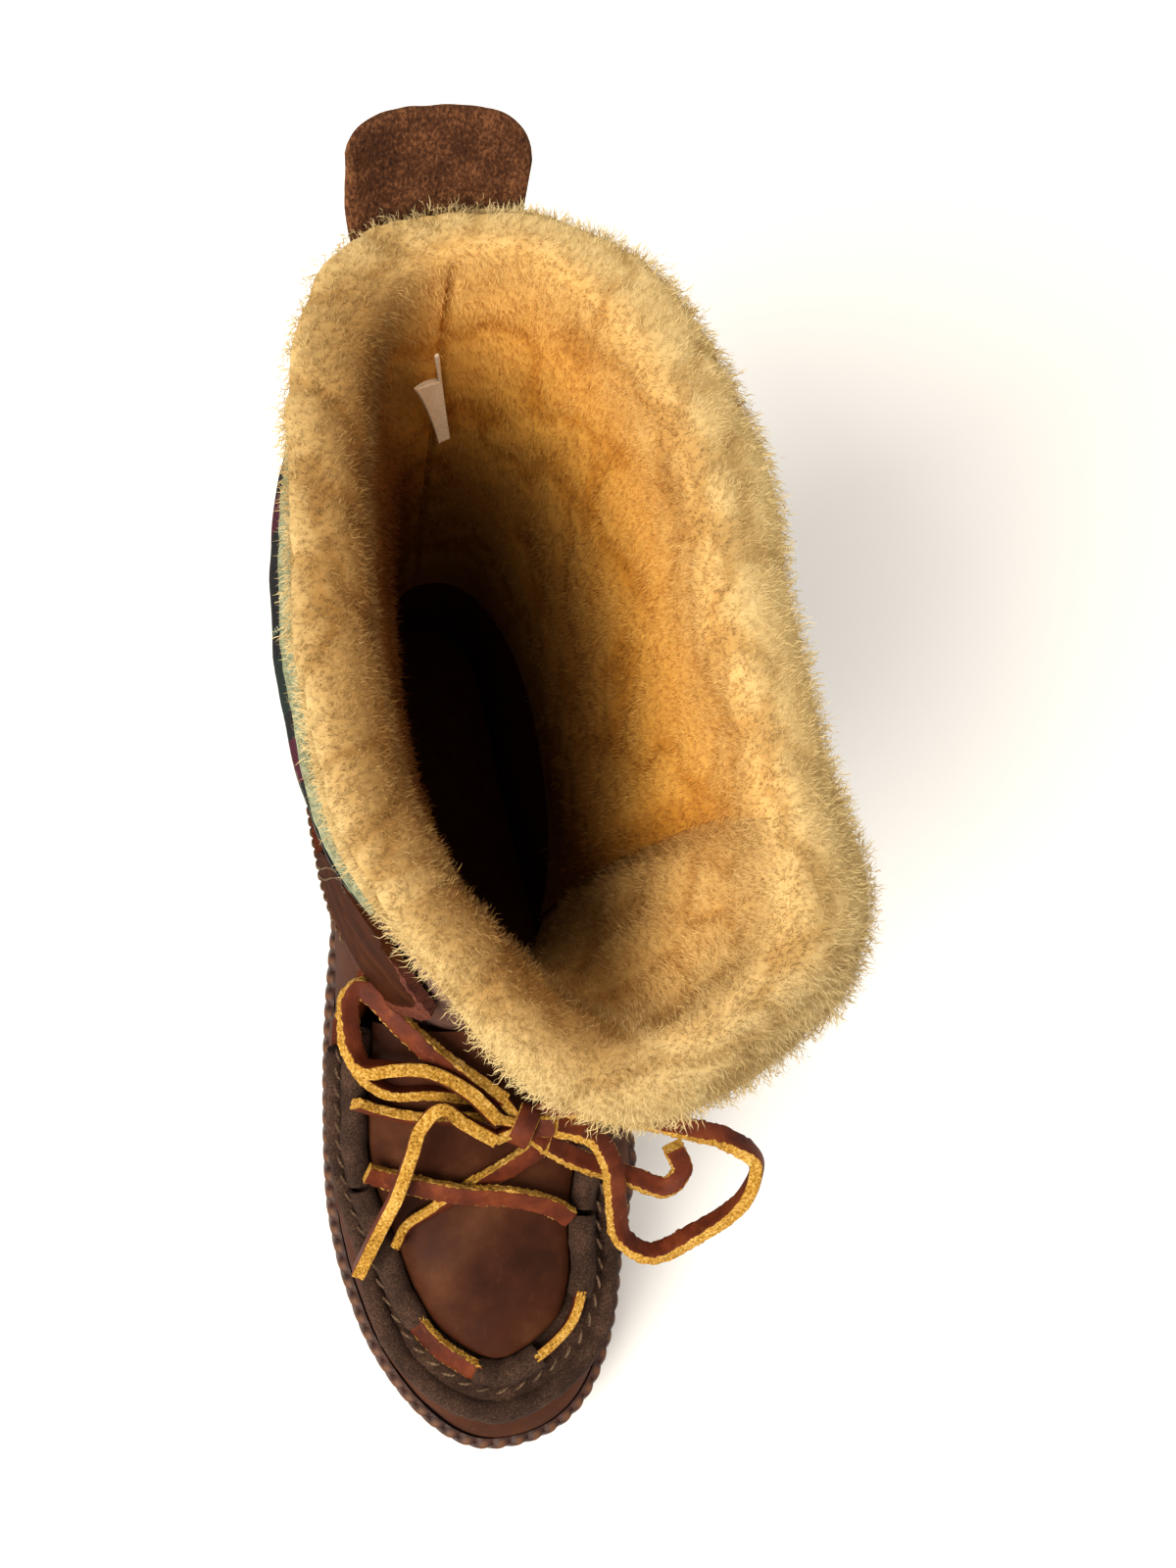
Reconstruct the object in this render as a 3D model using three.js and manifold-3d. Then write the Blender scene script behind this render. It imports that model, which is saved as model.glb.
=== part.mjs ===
// Sheepskin-lined lace-up boot, wearer's left. Millimetres, +Z up, toes towards -Y, lateral side towards +X.
// The origin is the middle of the flat under the heel. A station is a distance along the foot from the back
// of the heel; a turn of 0..1 runs round the foot from the heel, along the lateral side, over the toe and
// back along the medial side.
import * as THREE from 'three';
import { mergeVertices } from 'three/addons/utils/BufferGeometryUtils.js';
import Module from 'manifold-3d';

const wasm = await Module();
wasm.setup();

// ---------------------------------------------------------------- driving sizes
const FOOT_LENGTH = 278; // outsole, heel to toe
const HEEL_STATION = 38; // station of the origin
const GAP = 0.35; // between pieces that meet
const HEEL_CAP = 34; // length of the round back of the outline
const TOE_CAP = 46; // length of the round toe of the outline
const OUTSOLE_THICK = 9;
const GROOVE_WIDTH = 4;
const GROOVE_DEPTH = 2.6;
const GROOVE_SHARE_HEEL = 0.72; // of the sole's width
const GROOVE_SHARE_FORE = 0.8;
const GROOVE_STATIONS = [18, 30, 46, 58, 138, 150, 162, 174, 186, 198, 226, 238, 250];
const RIM_WIDTH = 3.4; // the rim that stands proud round the upper
const RIM_DEPTH = 3; // how deep the upper sits behind it
const RIB_COUNT = 76; // ropes of the rim
const RIB_RELIEF = 0.8;
const INSOLE_INSET = 8; // from the foot of the upper
const INSOLE_THICK = 8;
const LEATHER = 2;
const WOOL = 3;
const PILE_TOP = 11; // shearling at the collar
const PILE_LOW = 9; // shearling at the ankle
const PILE_MEDIAL = 7; // how much deeper it is along the medial side
const COLLAR_HEIGHT = 241;
const COLLAR_DIP = 35; // how much lower the collar is in front
const ANKLE_HEIGHT = 95;
const ANKLE_RISE = 4.5; // how much higher the tongue starts in front
const QUARTER_LEVEL = 0.09; // how far the quarter overlaps the shaft
const QUARTER_GAP = 0.8; // between the quarter and the shaft it overlaps
const FACING_GAP = 1.1; // between the facings and the leg
const FLEECE_GAP = 0.95; // between the shearling and its wall
const SEAM_GAP = 0.35; // degrees left free on each side of the seams between shaft and tongue
const TONGUE_FOOT = -0.12; // level of the tongue's lower edge, behind the apron
const EDGE_BAND = 0.03; // share of the leg taken by the cut edge of the wool
const CASING_RADIUS = 3.9;
const ROLL = {
  radius: 2.8, // at the ankle
  out: 5.3, // from the casing's centre line, at the ankle
  down: 5.6,
  thicker: 1.4, // over the toes
  further: 6.1, // over the toes
  middle: 0.475, // share of the throat line where it is thickest
  reach: 0.23, // how far that spreads
};
const LACE_WIDTH = 5.8;
const LACE_THICK = 3;
const CORD_RADIUS = 2.3; // the free lace, as a round of about the same section
const TUBE_SIDES = 8;

// outline of the sole: half widths before the round heel and toe are taken off
const outlineRows = [
  { station: 0, medial: 29, lateral: 29 },
  { station: 35, medial: 31, lateral: 32 },
  { station: 70, medial: 33, lateral: 35 },
  { station: 105, medial: 37, lateral: 40 },
  { station: 135, medial: 42, lateral: 46 },
  { station: 162, medial: 45.2, lateral: 51.5 },
  { station: 195, medial: 47.2, lateral: 54.2 },
  { station: 215, medial: 45.6, lateral: 48.9 },
  { station: 232, medial: 41.8, lateral: 43.9 },
  { station: 256, medial: 35, lateral: 39.6 },
  { station: 278, medial: 29, lateral: 39 },
];

// underside and feather line of the sole
const soleRows = [
  { station: 0, under: 1.5, feather: 28 },
  { station: 12, under: 0, feather: 28 },
  { station: 70, under: 0, feather: 27 },
  { station: 92, under: 4.5, feather: 26 },
  { station: 112, under: 4.5, feather: 24.5 },
  { station: 134, under: 0, feather: 23 },
  { station: 214, under: 0, feather: 22 },
  { station: 245, under: 3, feather: 24 },
  { station: 278, under: 10, feather: 28 },
];

// the leg from ankle (0) to collar (1): stations of its back, widest place and front, its two sides, and
// how far the front leans to the lateral side
const legRows = [
  { level: 0, back: 9, widest: 84, front: 157, medial: -38, lateral: 40, lean: 0 },
  { level: 0.3, back: 8, widest: 84, front: 158, medial: -39, lateral: 43, lean: 2 },
  { level: 0.6, back: 3, widest: 84, front: 165, medial: -40, lateral: 50, lean: 6 },
  { level: 0.85, back: -6, widest: 86, front: 177, medial: -41, lateral: 58, lean: 12 },
  { level: 1, back: -12, widest: 88, front: 185, medial: -42, lateral: 62, lean: 17 },
];

// where the shaft ends and the tongue starts on each side, in degrees from the back
const seamRows = [
  { level: 0, medial: 127, lateral: 127 },
  { level: 0.3, medial: 126, lateral: 123 },
  { level: 0.6, medial: 124, lateral: 119 },
  { level: 0.85, medial: 122, lateral: 114 },
  { level: 1, medial: 122, lateral: 113 },
];
const LEG_SQUARENESS = 2.25;
const LOBE_ANGLE = 131; // the tongue's corner that folds outwards
const LOBE_WIDTH = 16;
const LOBE_REACH = 7;

// how far the shearling rolls out over the edge, by degrees from the back (lateral side positive)
const overhangRows = [
  { angle: -180, reach: 7 },
  { angle: -150, reach: 2.5 },
  { angle: -122, reach: -1 },
  { angle: -90, reach: -2.4 },
  { angle: -40, reach: -1.5 },
  { angle: 0, reach: 0 },
  { angle: 45, reach: 4 },
  { angle: 74, reach: 5.6 },
  { angle: 90, reach: 4.6 },
  { angle: 106, reach: 3.4 },
  { angle: 116, reach: 6 },
  { angle: 127, reach: 9 },
  { angle: 150, reach: 8.4 },
  { angle: 166, reach: 7 },
  { angle: 180, reach: 7 },
];

// edges of the leather facings over the shaft's front and the tongue, in degrees from the back
const eyestayRows = [
  { level: 0.09, back: 97, front: 147 },
  { level: 0.16, back: 99, front: 151 },
  { level: 0.32, back: 104, front: 155 },
  { level: 0.5, back: 108, front: 151 },
  { level: 0.68, back: 112, front: 141 },
  { level: 0.84, back: 115, front: 129 },
];

// flap behind the collar and loop inside it: angles in degrees from the back, the rest in millimetres
const TAB = { middle: -11, half: 20, thick: 3, out: 1, foot: -26, corner: 7.5, top: 28 };
const LABEL = { middle: -16, half: 7, thick: 0.8, out: 2.3, foot: 0.74, top: 0.9 };

// centre line of the lace casing round the apron, from the ankle to the toe
const throatRows = [
  { station: 149, medial: -32.5, lateral: 28.5, height: 97.5 },
  { station: 171, medial: -35.8, lateral: 33, height: 84 },
  { station: 193, medial: -36.4, lateral: 32.2, height: 71 },
  { station: 212, medial: -31.5, lateral: 28.2, height: 62.5 },
  { station: 230, medial: -26.3, lateral: 26.6, height: 58.5 },
  { station: 244, medial: -17.5, lateral: 19.8, height: 56.5 },
];
const THROAT_TOE = { station: 253.6, side: -1, height: 56 };
const APRON = {
  crown: 5,
  from: 0.008, // shares of the throat line
  to: 0.488,
  bow: 0.026, // the middle of its upper edge clears the round of the tongue
  raise: 0.6, // over the casings' centre lines
};
const ROLL_END = 0.04; // share of the throat line left free at each end of the roll
const ANKLE_EDGE = 133; // degrees from the back at which the quarter's edge meets the roll
const EDGE_OUT = 1.8; // the upper ends under the roll, this much outside its centre line

// ---------------------------------------------------------------- small tools
const lerp = THREE.MathUtils.lerp;
const smooth = (value, low, high) => THREE.MathUtils.smoothstep(value, low, high);
const toY = (station) => HEEL_STATION - station;
const at = (side, station, height) => new THREE.Vector3(side, toY(station), height);
const radians = THREE.MathUtils.degToRad;

// smooth value of one column of a table, at a place between its rows
function read(rows, by, column, place) {
  const last = rows.length - 1;
  let low = 0;
  while (low < last - 1 && place > rows[low + 1][by]) {
    low += 1;
  }
  const slope = (row) => {
    const before = rows[Math.max(row - 1, 0)];
    const after = rows[Math.min(row + 1, last)];
    return (after[column] - before[column]) / (after[by] - before[by]);
  };
  const span = rows[low + 1][by] - rows[low][by];
  const t = THREE.MathUtils.clamp((place - rows[low][by]) / span, 0, 1);
  const t2 = t * t;
  const t3 = t2 * t;
  return (2 * t3 - 3 * t2 + 1) * rows[low][column] + (t3 - 2 * t2 + t) * span * slope(low)
    + (3 * t2 - 2 * t3) * rows[low + 1][column] + (t3 - t2) * span * slope(low + 1);
}

// a small repeatable lump pattern, -1..1
const lump = (a, b) => Math.sin(a * 12.9898 + b * 4.1414) * Math.cos(a * 7.233 - b * 9.77);

function bodyFrom(points, faces) {
  const geometry = new THREE.BufferGeometry();
  geometry.setAttribute('position', new THREE.Float32BufferAttribute(points.flatMap((p) => p.toArray()), 3));
  let volume = 0;
  for (const [a, b, c] of faces) {
    volume += points[a].dot(points[b].clone().cross(points[c]));
  }
  const turned = volume < 0 ? faces.map(([a, b, c]) => [a, c, b]) : faces;
  geometry.setIndex(turned.flat());
  return geometry;
}

// a closed body whose sections are closed loops of points; the run of sections is itself closed, or
// has its first and last loops capped by a ladder of faces from one half of the loop to the other. The
// halves of a wall's loop are its outer and inner faces; those of an outline meet at its first point
function loft(loops, { ring = false, wall = false } = {}) {
  const size = loops[0].length;
  const faces = [];
  const runs = ring ? loops.length : loops.length - 1;
  for (let i = 0; i < runs; i += 1) {
    for (let j = 0; j < size; j += 1) {
      const next = (j + 1) % size;
      const above = ((i + 1) % loops.length) * size;
      faces.push([i * size + j, i * size + next, above + next], [i * size + j, above + next, above + j]);
    }
  }
  if (!ring) {
    const lastLoop = (loops.length - 1) * size;
    const rung = (a, b, c) => faces.push([a, b, c], [lastLoop + a, lastLoop + c, lastLoop + b]);
    for (let low = 0, high = wall ? size - 1 : size; high - low > 1; low += 1, high -= 1) {
      const far = high % size;
      if (high - 1 > low + 1) {
        rung(far, high - 1, low + 1);
      }
      if (far !== low) {
        rung(far, low + 1, low);
      }
    }
  }
  return bodyFrom(loops.flat(), faces);
}

function range(count, from = 0, to = 1) {
  return Array.from({ length: count }, (_, i) => lerp(from, to, i / (count - 1)));
}

const turns = (count) => Array.from({ length: count }, (_, i) => i / count);

function toManifold(geometry) {
  const plain = geometry.clone();
  plain.deleteAttribute('normal');
  plain.deleteAttribute('uv');
  const merged = mergeVertices(plain, 1e-4);
  return new wasm.Manifold(new wasm.Mesh({
    numProp: 3,
    vertProperties: new Float32Array(merged.attributes.position.array),
    triVerts: new Uint32Array(merged.index.array),
  }));
}

function fromManifold(solid) {
  const mesh = solid.getMesh();
  const geometry = new THREE.BufferGeometry();
  geometry.setAttribute('position', new THREE.BufferAttribute(new Float32Array(mesh.vertProperties), 3));
  geometry.setIndex(new THREE.BufferAttribute(new Uint32Array(mesh.triVerts), 1));
  return geometry;
}

function cut(geometry, ...tools) {
  const cutter = (left, tool) => left.subtract(toManifold(tool));
  return fromManifold(tools.reduce(cutter, toManifold(geometry)));
}

// ---------------------------------------------------------------- the sole's outline
const roundEnd = (share, power) => (1 - Math.max(share, 0) ** power) ** (1 / power);

function outlineSide(station, column) {
  const heel = roundEnd((HEEL_CAP - station) / HEEL_CAP, 2.2);
  const toe = roundEnd((station - FOOT_LENGTH + TOE_CAP) / TOE_CAP, 2.3);
  return read(outlineRows, 'station', column, station) * heel * toe;
}

function rawOutline(turn) {
  const station = (FOOT_LENGTH / 2) * (1 - Math.cos(turn * 2 * Math.PI));
  const side = turn < 0.5 ? outlineSide(station, 'lateral') : -outlineSide(station, 'medial');
  return new THREE.Vector2(side, station);
}

// point of the outline, moved inwards by inset; height is added by the caller
function outlinePoint(turn, inset = 0) {
  const step = 0.004;
  const ahead = rawOutline((turn + step) % 1);
  const behind = rawOutline((turn + 1 - step) % 1);
  const inward = new THREE.Vector2(-(ahead.y - behind.y), ahead.x - behind.x).normalize();
  return rawOutline(turn).addScaledVector(inward, inset);
}

// turns that space points evenly round the outline
function evenTurns(count) {
  const fine = turns(720).map((turn) => rawOutline(turn));
  const reach = [0];
  fine.forEach((point, i) => reach.push(reach[i] + point.distanceTo(fine[(i + 1) % fine.length])));
  return turns(count).map((share) => {
    const goal = share * reach[fine.length];
    const i = reach.findIndex((length) => length > goal) - 1;
    return (i + (goal - reach[i]) / (reach[i + 1] - reach[i])) / fine.length;
  });
}

const under = (station) => Math.max(read(soleRows, 'station', 'under', station), 0);
const feather = (station) => read(soleRows, 'station', 'feather', station);
const clampStation = (station) => THREE.MathUtils.clamp(station, 0, FOOT_LENGTH);

function outlineLoop(turnList, inset, heightAt) {
  return turnList.map((turn, i) => {
    const { x, y } = outlinePoint(turn, typeof inset === 'function' ? inset(i) : inset);
    return at(x, y, heightAt(clampStation(y)));
  });
}

// ---------------------------------------------------------------- sole
function outsole() {
  const loopTurns = evenTurns(RIB_COUNT);
  const body = loft([
    outlineLoop(loopTurns, 4, (s) => under(s)),
    outlineLoop(loopTurns, 2.2, (s) => under(s) + 2),
    outlineLoop(loopTurns, 1, (s) => under(s) + OUTSOLE_THICK),
  ]);
  const grooves = GROOVE_STATIONS.map((station) => {
    const share = station < FOOT_LENGTH / 2 - 20 ? GROOVE_SHARE_HEEL : GROOVE_SHARE_FORE;
    const medial = outlineSide(station, 'medial');
    const lateral = outlineSide(station, 'lateral');
    const groove = new THREE.BoxGeometry((medial + lateral) * share, GROOVE_WIDTH, GROOVE_DEPTH * 2);
    groove.translate((lateral - medial) / 2, toY(station), under(station));
    return groove;
  });
  return cut(body, ...grooves);
}

function midsole() {
  const loopTurns = evenTurns(RIB_COUNT * 2);
  const rope = (i) => (i % 2 ? RIB_RELIEF : 0);
  const low = (s) => under(s) + OUTSOLE_THICK + GAP;
  return loft([
    outlineLoop(loopTurns, 1.4, low),
    outlineLoop(loopTurns, rope, (s) => feather(s) - 2.6),
    outlineLoop(loopTurns, rope, (s) => feather(s) - 0.4),
    outlineLoop(loopTurns, RIM_WIDTH, (s) => feather(s)),
    outlineLoop(loopTurns, RIM_WIDTH + 0.2, (s) => feather(s) - RIM_DEPTH),
  ]);
}

function insole() {
  const loopTurns = turns(36);
  const inset = RIM_WIDTH + INSOLE_INSET;
  const floor = (s) => feather(s) - RIM_DEPTH + GAP;
  return loft([
    outlineLoop(loopTurns, inset, floor),
    outlineLoop(loopTurns, inset - 0.4, (s) => floor(s) + INSOLE_THICK - 2),
    outlineLoop(loopTurns, inset + 3, (s) => floor(s) + INSOLE_THICK),
  ]);
}

// ---------------------------------------------------------------- the leg
const frontShare = (angle) => ((1 - Math.cos(radians(angle))) / 2) ** 4;

function legSurface(angle, level) {
  const row = {};
  const place = THREE.MathUtils.clamp(level, 0, 1);
  for (const column of ['back', 'widest', 'front', 'medial', 'lateral', 'lean']) {
    row[column] = read(legRows, 'level', column, place);
  }
  const along = Math.cos(radians(angle));
  const across = Math.sin(radians(angle));
  const power = 2 / LEG_SQUARENESS;
  const alongShare = Math.abs(along) ** power;
  const acrossShare = Math.sign(across) * Math.abs(across) ** power;
  const station = along > 0
    ? row.widest - (row.widest - row.back) * alongShare
    : row.widest + (row.front - row.widest) * alongShare;
  const lean = along < 0 ? row.lean * alongShare : 0;
  const side = (row.medial + row.lateral) / 2 + lean + ((row.lateral - row.medial) / 2) * acrossShare;
  const low = ANKLE_HEIGHT + ANKLE_RISE * frontShare(angle);
  const high = COLLAR_HEIGHT - COLLAR_DIP * frontShare(angle);
  const turned = ((angle % 360) + 360) % 360;
  const lobe = LOBE_REACH * Math.exp(-(((turned - LOBE_ANGLE) / LOBE_WIDTH) ** 2)) * place ** 5;
  return at(side + lobe * Math.sin(radians(turned)), station - lobe * Math.cos(radians(turned)),
    lerp(low, high, level));
}

// point of the leg at an angle and level, moved out from the wool's outer face, and lifted past the level
function legPoint(angle, level, out = 0, lift = 0) {
  const step = 0.8;
  const rise = 0.02;
  const top = Math.min(level + rise, 1);
  const up = legSurface(angle, top).sub(legSurface(angle, top - 2 * rise)).normalize();
  const round = legSurface(angle + step, level).sub(legSurface(angle - step, level)).normalize();
  const outward = new THREE.Vector3().crossVectors(up, round).normalize();
  return legSurface(angle, level).addScaledVector(outward, out).addScaledVector(up, lift);
}

const seamOf = (side, level) => read(seamRows, 'level', side, level);

// angle on the shaft for a share -1 (medial front edge) .. 1 (lateral front edge)
function shaftAngle(share, level) {
  const seam = seamOf(share < 0 ? 'medial' : 'lateral', level);
  return share * (seam - SEAM_GAP);
}

// angle on the tongue for a share 0 (lateral edge) .. 1 (medial edge)
function tongueAngle(share, level) {
  return lerp(seamOf('lateral', level) + SEAM_GAP, 360 - seamOf('medial', level) - SEAM_GAP, share);
}

// a wall over part of the leg, closed at its four edges
function legWall(angleOf, shares, levels, outer, inner) {
  return loft(shares.map((share) => [
    ...levels.map((level) => legPoint(angleOf(share, level), level, outer)),
    ...levels.slice().reverse().map((level) => legPoint(angleOf(share, level), level, inner)),
  ]), { wall: true });
}

const LEG_LEVELS = [0, 0.16, 0.32, 0.5, 0.68, 0.84];
const SHAFT_SHARES = range(35, -1);
const TONGUE_SHARES = range(17);
const shaftTop = 1 - EDGE_BAND;

const shaft = () => legWall(shaftAngle, SHAFT_SHARES, [...LEG_LEVELS, shaftTop - 0.003], 0, -WOOL);
const collarEdge = () => legWall(shaftAngle, SHAFT_SHARES, [shaftTop, 1], 0.3, -WOOL);
const tongue = () => legWall(tongueAngle, TONGUE_SHARES, [TONGUE_FOOT, ...LEG_LEVELS, 1], 0, -LEATHER);

// shearling against the inside of a wall, rolled over its top edge; locks stand on what shows
function legFleece(angleOf, shares, wall) {
  const back = -wall - FLEECE_GAP;
  const locksUp = 6;
  return loft(shares.map((share, i) => {
    const angle = angleOf(share, 1);
    const signed = angle > 180 ? angle - 360 : angle;
    const reach = read(overhangRows, 'angle', 'reach', signed);
    const hang = lerp(-1.5, 9, smooth(reach, 0.4, 6));
    const lock = (row) => 1.7 * lump(i, row);
    const spill = smooth(Math.abs(reach), 0.5, 4);
    const piece = (level, out, lift = 0) => legPoint(angleOf(share, level), level, out, lift);
    const deeper = PILE_MEDIAL * Math.max(-Math.sin(radians(signed)), 0) ** 2;
    const pile = (level) => lerp(PILE_LOW, PILE_TOP, level) + deeper * lerp(0.4, 1, level);
    const rising = LEG_LEVELS;
    const edgeOut = Math.min(reach, 1.1);
    return [
      ...rising.map((level) => piece(level, back)),
      piece(1, back, 0.4),
      piece(1, edgeOut, 1),
      piece(1, edgeOut, -hang),
      piece(1, reach * 1.2 + lock(1) * spill, -hang - 1),
      piece(1, reach * 1.55 + lock(2) * spill, 3 - 0.3 * hang),
      piece(1, reach * 0.5 - 1 + lock(3) * spill, locksUp + 2 + lock(4)),
      piece(1, back - pile(1) * 0.45, locksUp + 4 + lock(5)),
      piece(1, back - pile(1) - 1 + lock(6), locksUp - 2),
      ...rising.slice().reverse().map((level) => piece(level, back - pile(level) + 0.7 * lock(level * 9))),
    ];
  }), { wall: true });
}

const shaftFleece = () => legFleece(shaftAngle, SHAFT_SHARES, WOOL);
const tongueFleece = () => legFleece(tongueAngle, TONGUE_SHARES, LEATHER);

// leather facing over a front edge of the shaft and the tongue beside it
function eyestay(sign) {
  const edge = (column, level) => read(eyestayRows, 'level', column, level);
  const angleOf = (share, level) => sign * lerp(edge('back', level), edge('front', level), share);
  const levels = [QUARTER_LEVEL + 0.008, ...eyestayRows.slice(1).map((row) => row.level)];
  return legWall(angleOf, range(11), levels, FACING_GAP + LEATHER, FACING_GAP);
}

// rounded flap sewn behind the collar, standing above it
function pullTab() {
  return loft(range(11, -1).map((across) => {
    const angle = TAB.middle + across * TAB.half;
    const top = lerp(TAB.corner, TAB.top, roundEnd(Math.abs(across) * 0.985, 2.6));
    const heights = range(5, TAB.foot, top);
    return [
      ...heights.map((lift) => legPoint(angle, 1, TAB.out + TAB.thick, lift)),
      ...heights.slice().reverse().map((lift) => legPoint(angle, 1, TAB.out, lift)),
    ];
  }), { wall: true });
}

// small blank loop sewn into the rear seam of the lining
function label() {
  const angleOf = (across) => LABEL.middle + across * LABEL.half;
  const out = -WOOL - lerp(PILE_LOW, PILE_TOP, LABEL.top) - LABEL.out;
  return legWall(angleOf, range(5, -1), range(3, LABEL.foot, LABEL.top), out, out - LABEL.thick);
}

// ---------------------------------------------------------------- throat of the moccasin
const throatCurve = new THREE.CatmullRomCurve3([
  ...throatRows.map((row) => at(row.medial, row.station, row.height)),
  at(THROAT_TOE.side, THROAT_TOE.station, THROAT_TOE.height),
  ...throatRows.slice().reverse().map((row) => at(row.lateral, row.station, row.height)),
], false, 'centripetal');
throatCurve.arcLengthDivisions = 400;

// point of the throat line at a share 0 (medial ankle) .. 1 (lateral ankle), moved out and up
function throatPoint(share, out = 0, lift = 0) {
  const place = throatCurve.getPointAt(share);
  const run = throatCurve.getTangentAt(share);
  const outward = new THREE.Vector3(-run.y, run.x, 0).normalize();
  const sign = share < 0.5 ? Math.sign(-outward.x || 1) : Math.sign(outward.x || 1);
  const toeSign = Math.abs(run.y) < 0.5 ? Math.sign(-outward.y) : sign;
  return place.addScaledVector(outward, out * toeSign).add(new THREE.Vector3(0, 0, lift));
}

// a tube of round section along a run of points; its radius is one number or one for each point
function tube(points, radius, flat = 1) {
  const up = new THREE.Vector3(0, 0, 1);
  return loft(points.map((point, i) => {
    const ahead = points[Math.min(i + 1, points.length - 1)];
    const behind = points[Math.max(i - 1, 0)];
    const run = ahead.clone().sub(behind).normalize();
    const across = new THREE.Vector3().crossVectors(run, up).normalize();
    const over = new THREE.Vector3().crossVectors(across, run);
    const reach = Array.isArray(radius) ? radius[i] : radius;
    return turns(TUBE_SIDES).map((turn) => point.clone()
      .addScaledVector(across, Math.cos(turn * 2 * Math.PI) * reach)
      .addScaledVector(over, Math.sin(turn * 2 * Math.PI) * reach * flat));
  }));
}

function throatRun(from, to, count, out, lift) {
  return range(count, from, to).map((share) => throatPoint(share, out, lift));
}

// the moccasin's roll stands further out and is thicker over the toes
const rollSwell = (share) => Math.exp(-(((share - ROLL.middle) / ROLL.reach) ** 2));
const rollOut = (share) => ROLL.out + ROLL.further * rollSwell(share);
const rollRadius = (share) => ROLL.radius + ROLL.thicker * rollSwell(share);

function mocRoll() {
  const shares = range(35, ROLL_END, 1 - ROLL_END);
  return tube(shares.map((share) => throatPoint(share, rollOut(share), -ROLL.down)), shares.map(rollRadius));
}

const casing = (from, to, count) => tube(throatRun(from, to, count, 0, 0), CASING_RADIUS);

// apron over toes and instep, crowned between the casings
function apronPoint(share, across, lift = 0) {
  const inset = -CASING_RADIUS - GAP;
  const left = throatPoint(share, inset);
  const right = throatPoint(1 - share, inset);
  const crown = APRON.crown * (1 - smooth(share, 0.3, 0.5)) * (1 - across * across);
  return left.lerp(right, (across + 1) / 2).add(new THREE.Vector3(0, 0, crown + lift));
}

function apron() {
  const acrossList = range(9, -1);
  const shareAt = (run, across) => lerp(APRON.from + APRON.bow * (1 - across * across), APRON.to, run);
  return loft(range(13).map((run) => [
    ...acrossList.map((across) => apronPoint(shareAt(run, across), across, APRON.raise)),
    ...acrossList.slice().reverse().map((across) => (
      apronPoint(shareAt(run, across), across, APRON.raise - LEATHER))),
  ]), { wall: true });
}

// point above the apron, at a side and station
function overApron(side, station, lift) {
  let low = 0;
  let high = 0.5;
  for (let i = 0; i < 24; i += 1) {
    const middle = (low + high) / 2;
    if (throatPoint(middle).y > toY(station)) {
      low = middle;
    } else {
      high = middle;
    }
  }
  const left = throatPoint(low, -CASING_RADIUS - GAP).x;
  const right = throatPoint(1 - low, -CASING_RADIUS - GAP).x;
  const across = THREE.MathUtils.clamp((2 * (side - left)) / (right - left) - 1, -1, 1);
  const height = apronPoint(low, across, APRON.raise + lift).z;
  return at(side, station, height);
}

// ---------------------------------------------------------------- upper: one hollow moccasin wall
// top edge of the leather: round the ankle on the leg, then down along the moc roll to the toe
function upperEdge(turn) {
  const half = turn < 0.5 ? turn * 2 : (1 - turn) * 2;
  const side = turn < 0.5 ? 1 : -1;
  if (half <= 0.5) {
    return legPoint(side * half * 2 * ANKLE_EDGE, QUARTER_LEVEL, LEATHER + QUARTER_GAP);
  }
  const share = (half - 0.5) * 2;
  const along = side > 0 ? 1 - share / 2 : share / 2;
  const run = throatCurve.getTangentAt(along);
  const down = ROLL.down + (rollRadius(along) + GAP + 0.3) / Math.hypot(run.x, run.y);
  return throatPoint(along, rollOut(along) + EDGE_OUT, -down);
}

function upperSurface(turn, rise) {
  const { x, y } = outlinePoint(turn, RIM_WIDTH + GAP + 0.4);
  const foot = at(x, y, feather(clampStation(y)) - RIM_DEPTH + GAP);
  const edge = upperEdge(turn);
  const height = edge.z - foot.z;
  const outward = new THREE.Vector3(x, toY(y) - toY(FOOT_LENGTH / 2), 0).normalize();
  const low = foot.clone().add(new THREE.Vector3(0, 0, height * 0.4)).addScaledVector(outward, 1.5);
  const high = edge.clone().add(new THREE.Vector3(0, 0, -height * 0.35)).addScaledVector(outward, 2.2);
  return new THREE.CubicBezierCurve3(foot, low, high, edge).getPoint(rise);
}

function upperPoint(turn, rise, out) {
  const low = Math.max(rise - 0.02, 0);
  const up = upperSurface(turn, low + 0.04 > 1 ? 1 : low + 0.04).sub(upperSurface(turn, low)).normalize();
  const behind = upperSurface((turn + 0.996) % 1, rise);
  const round = upperSurface((turn + 0.004) % 1, rise).sub(behind).normalize();
  const outward = new THREE.Vector3().crossVectors(up, round).normalize();
  return upperSurface(turn, rise).addScaledVector(outward, out);
}

function upper() {
  const rises = [0, 0.14, 0.34, 0.56, 0.8, 1];
  return loft(turns(64).map((turn) => [
    ...rises.map((rise) => upperPoint(turn, rise, 0)),
    ...rises.slice().reverse().map((rise) => upperPoint(turn, rise, -LEATHER)),
  ]), { ring: true });
}

// ---------------------------------------------------------------- rawhide lace
// a flat lace along a run of points, its broad face up
function lace(points, steps) {
  const curve = new THREE.CatmullRomCurve3(points, false, 'centripetal');
  return tube(curve.getSpacedPoints(steps), LACE_WIDTH / 2, LACE_THICK / LACE_WIDTH);
}

const OVER = LACE_THICK / 2 + GAP + 0.3; // lift of a lace that lies on the apron
const overRun = (rows) => rows.map(([side, station, lift]) => overApron(side, station, OVER + lift));

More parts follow.
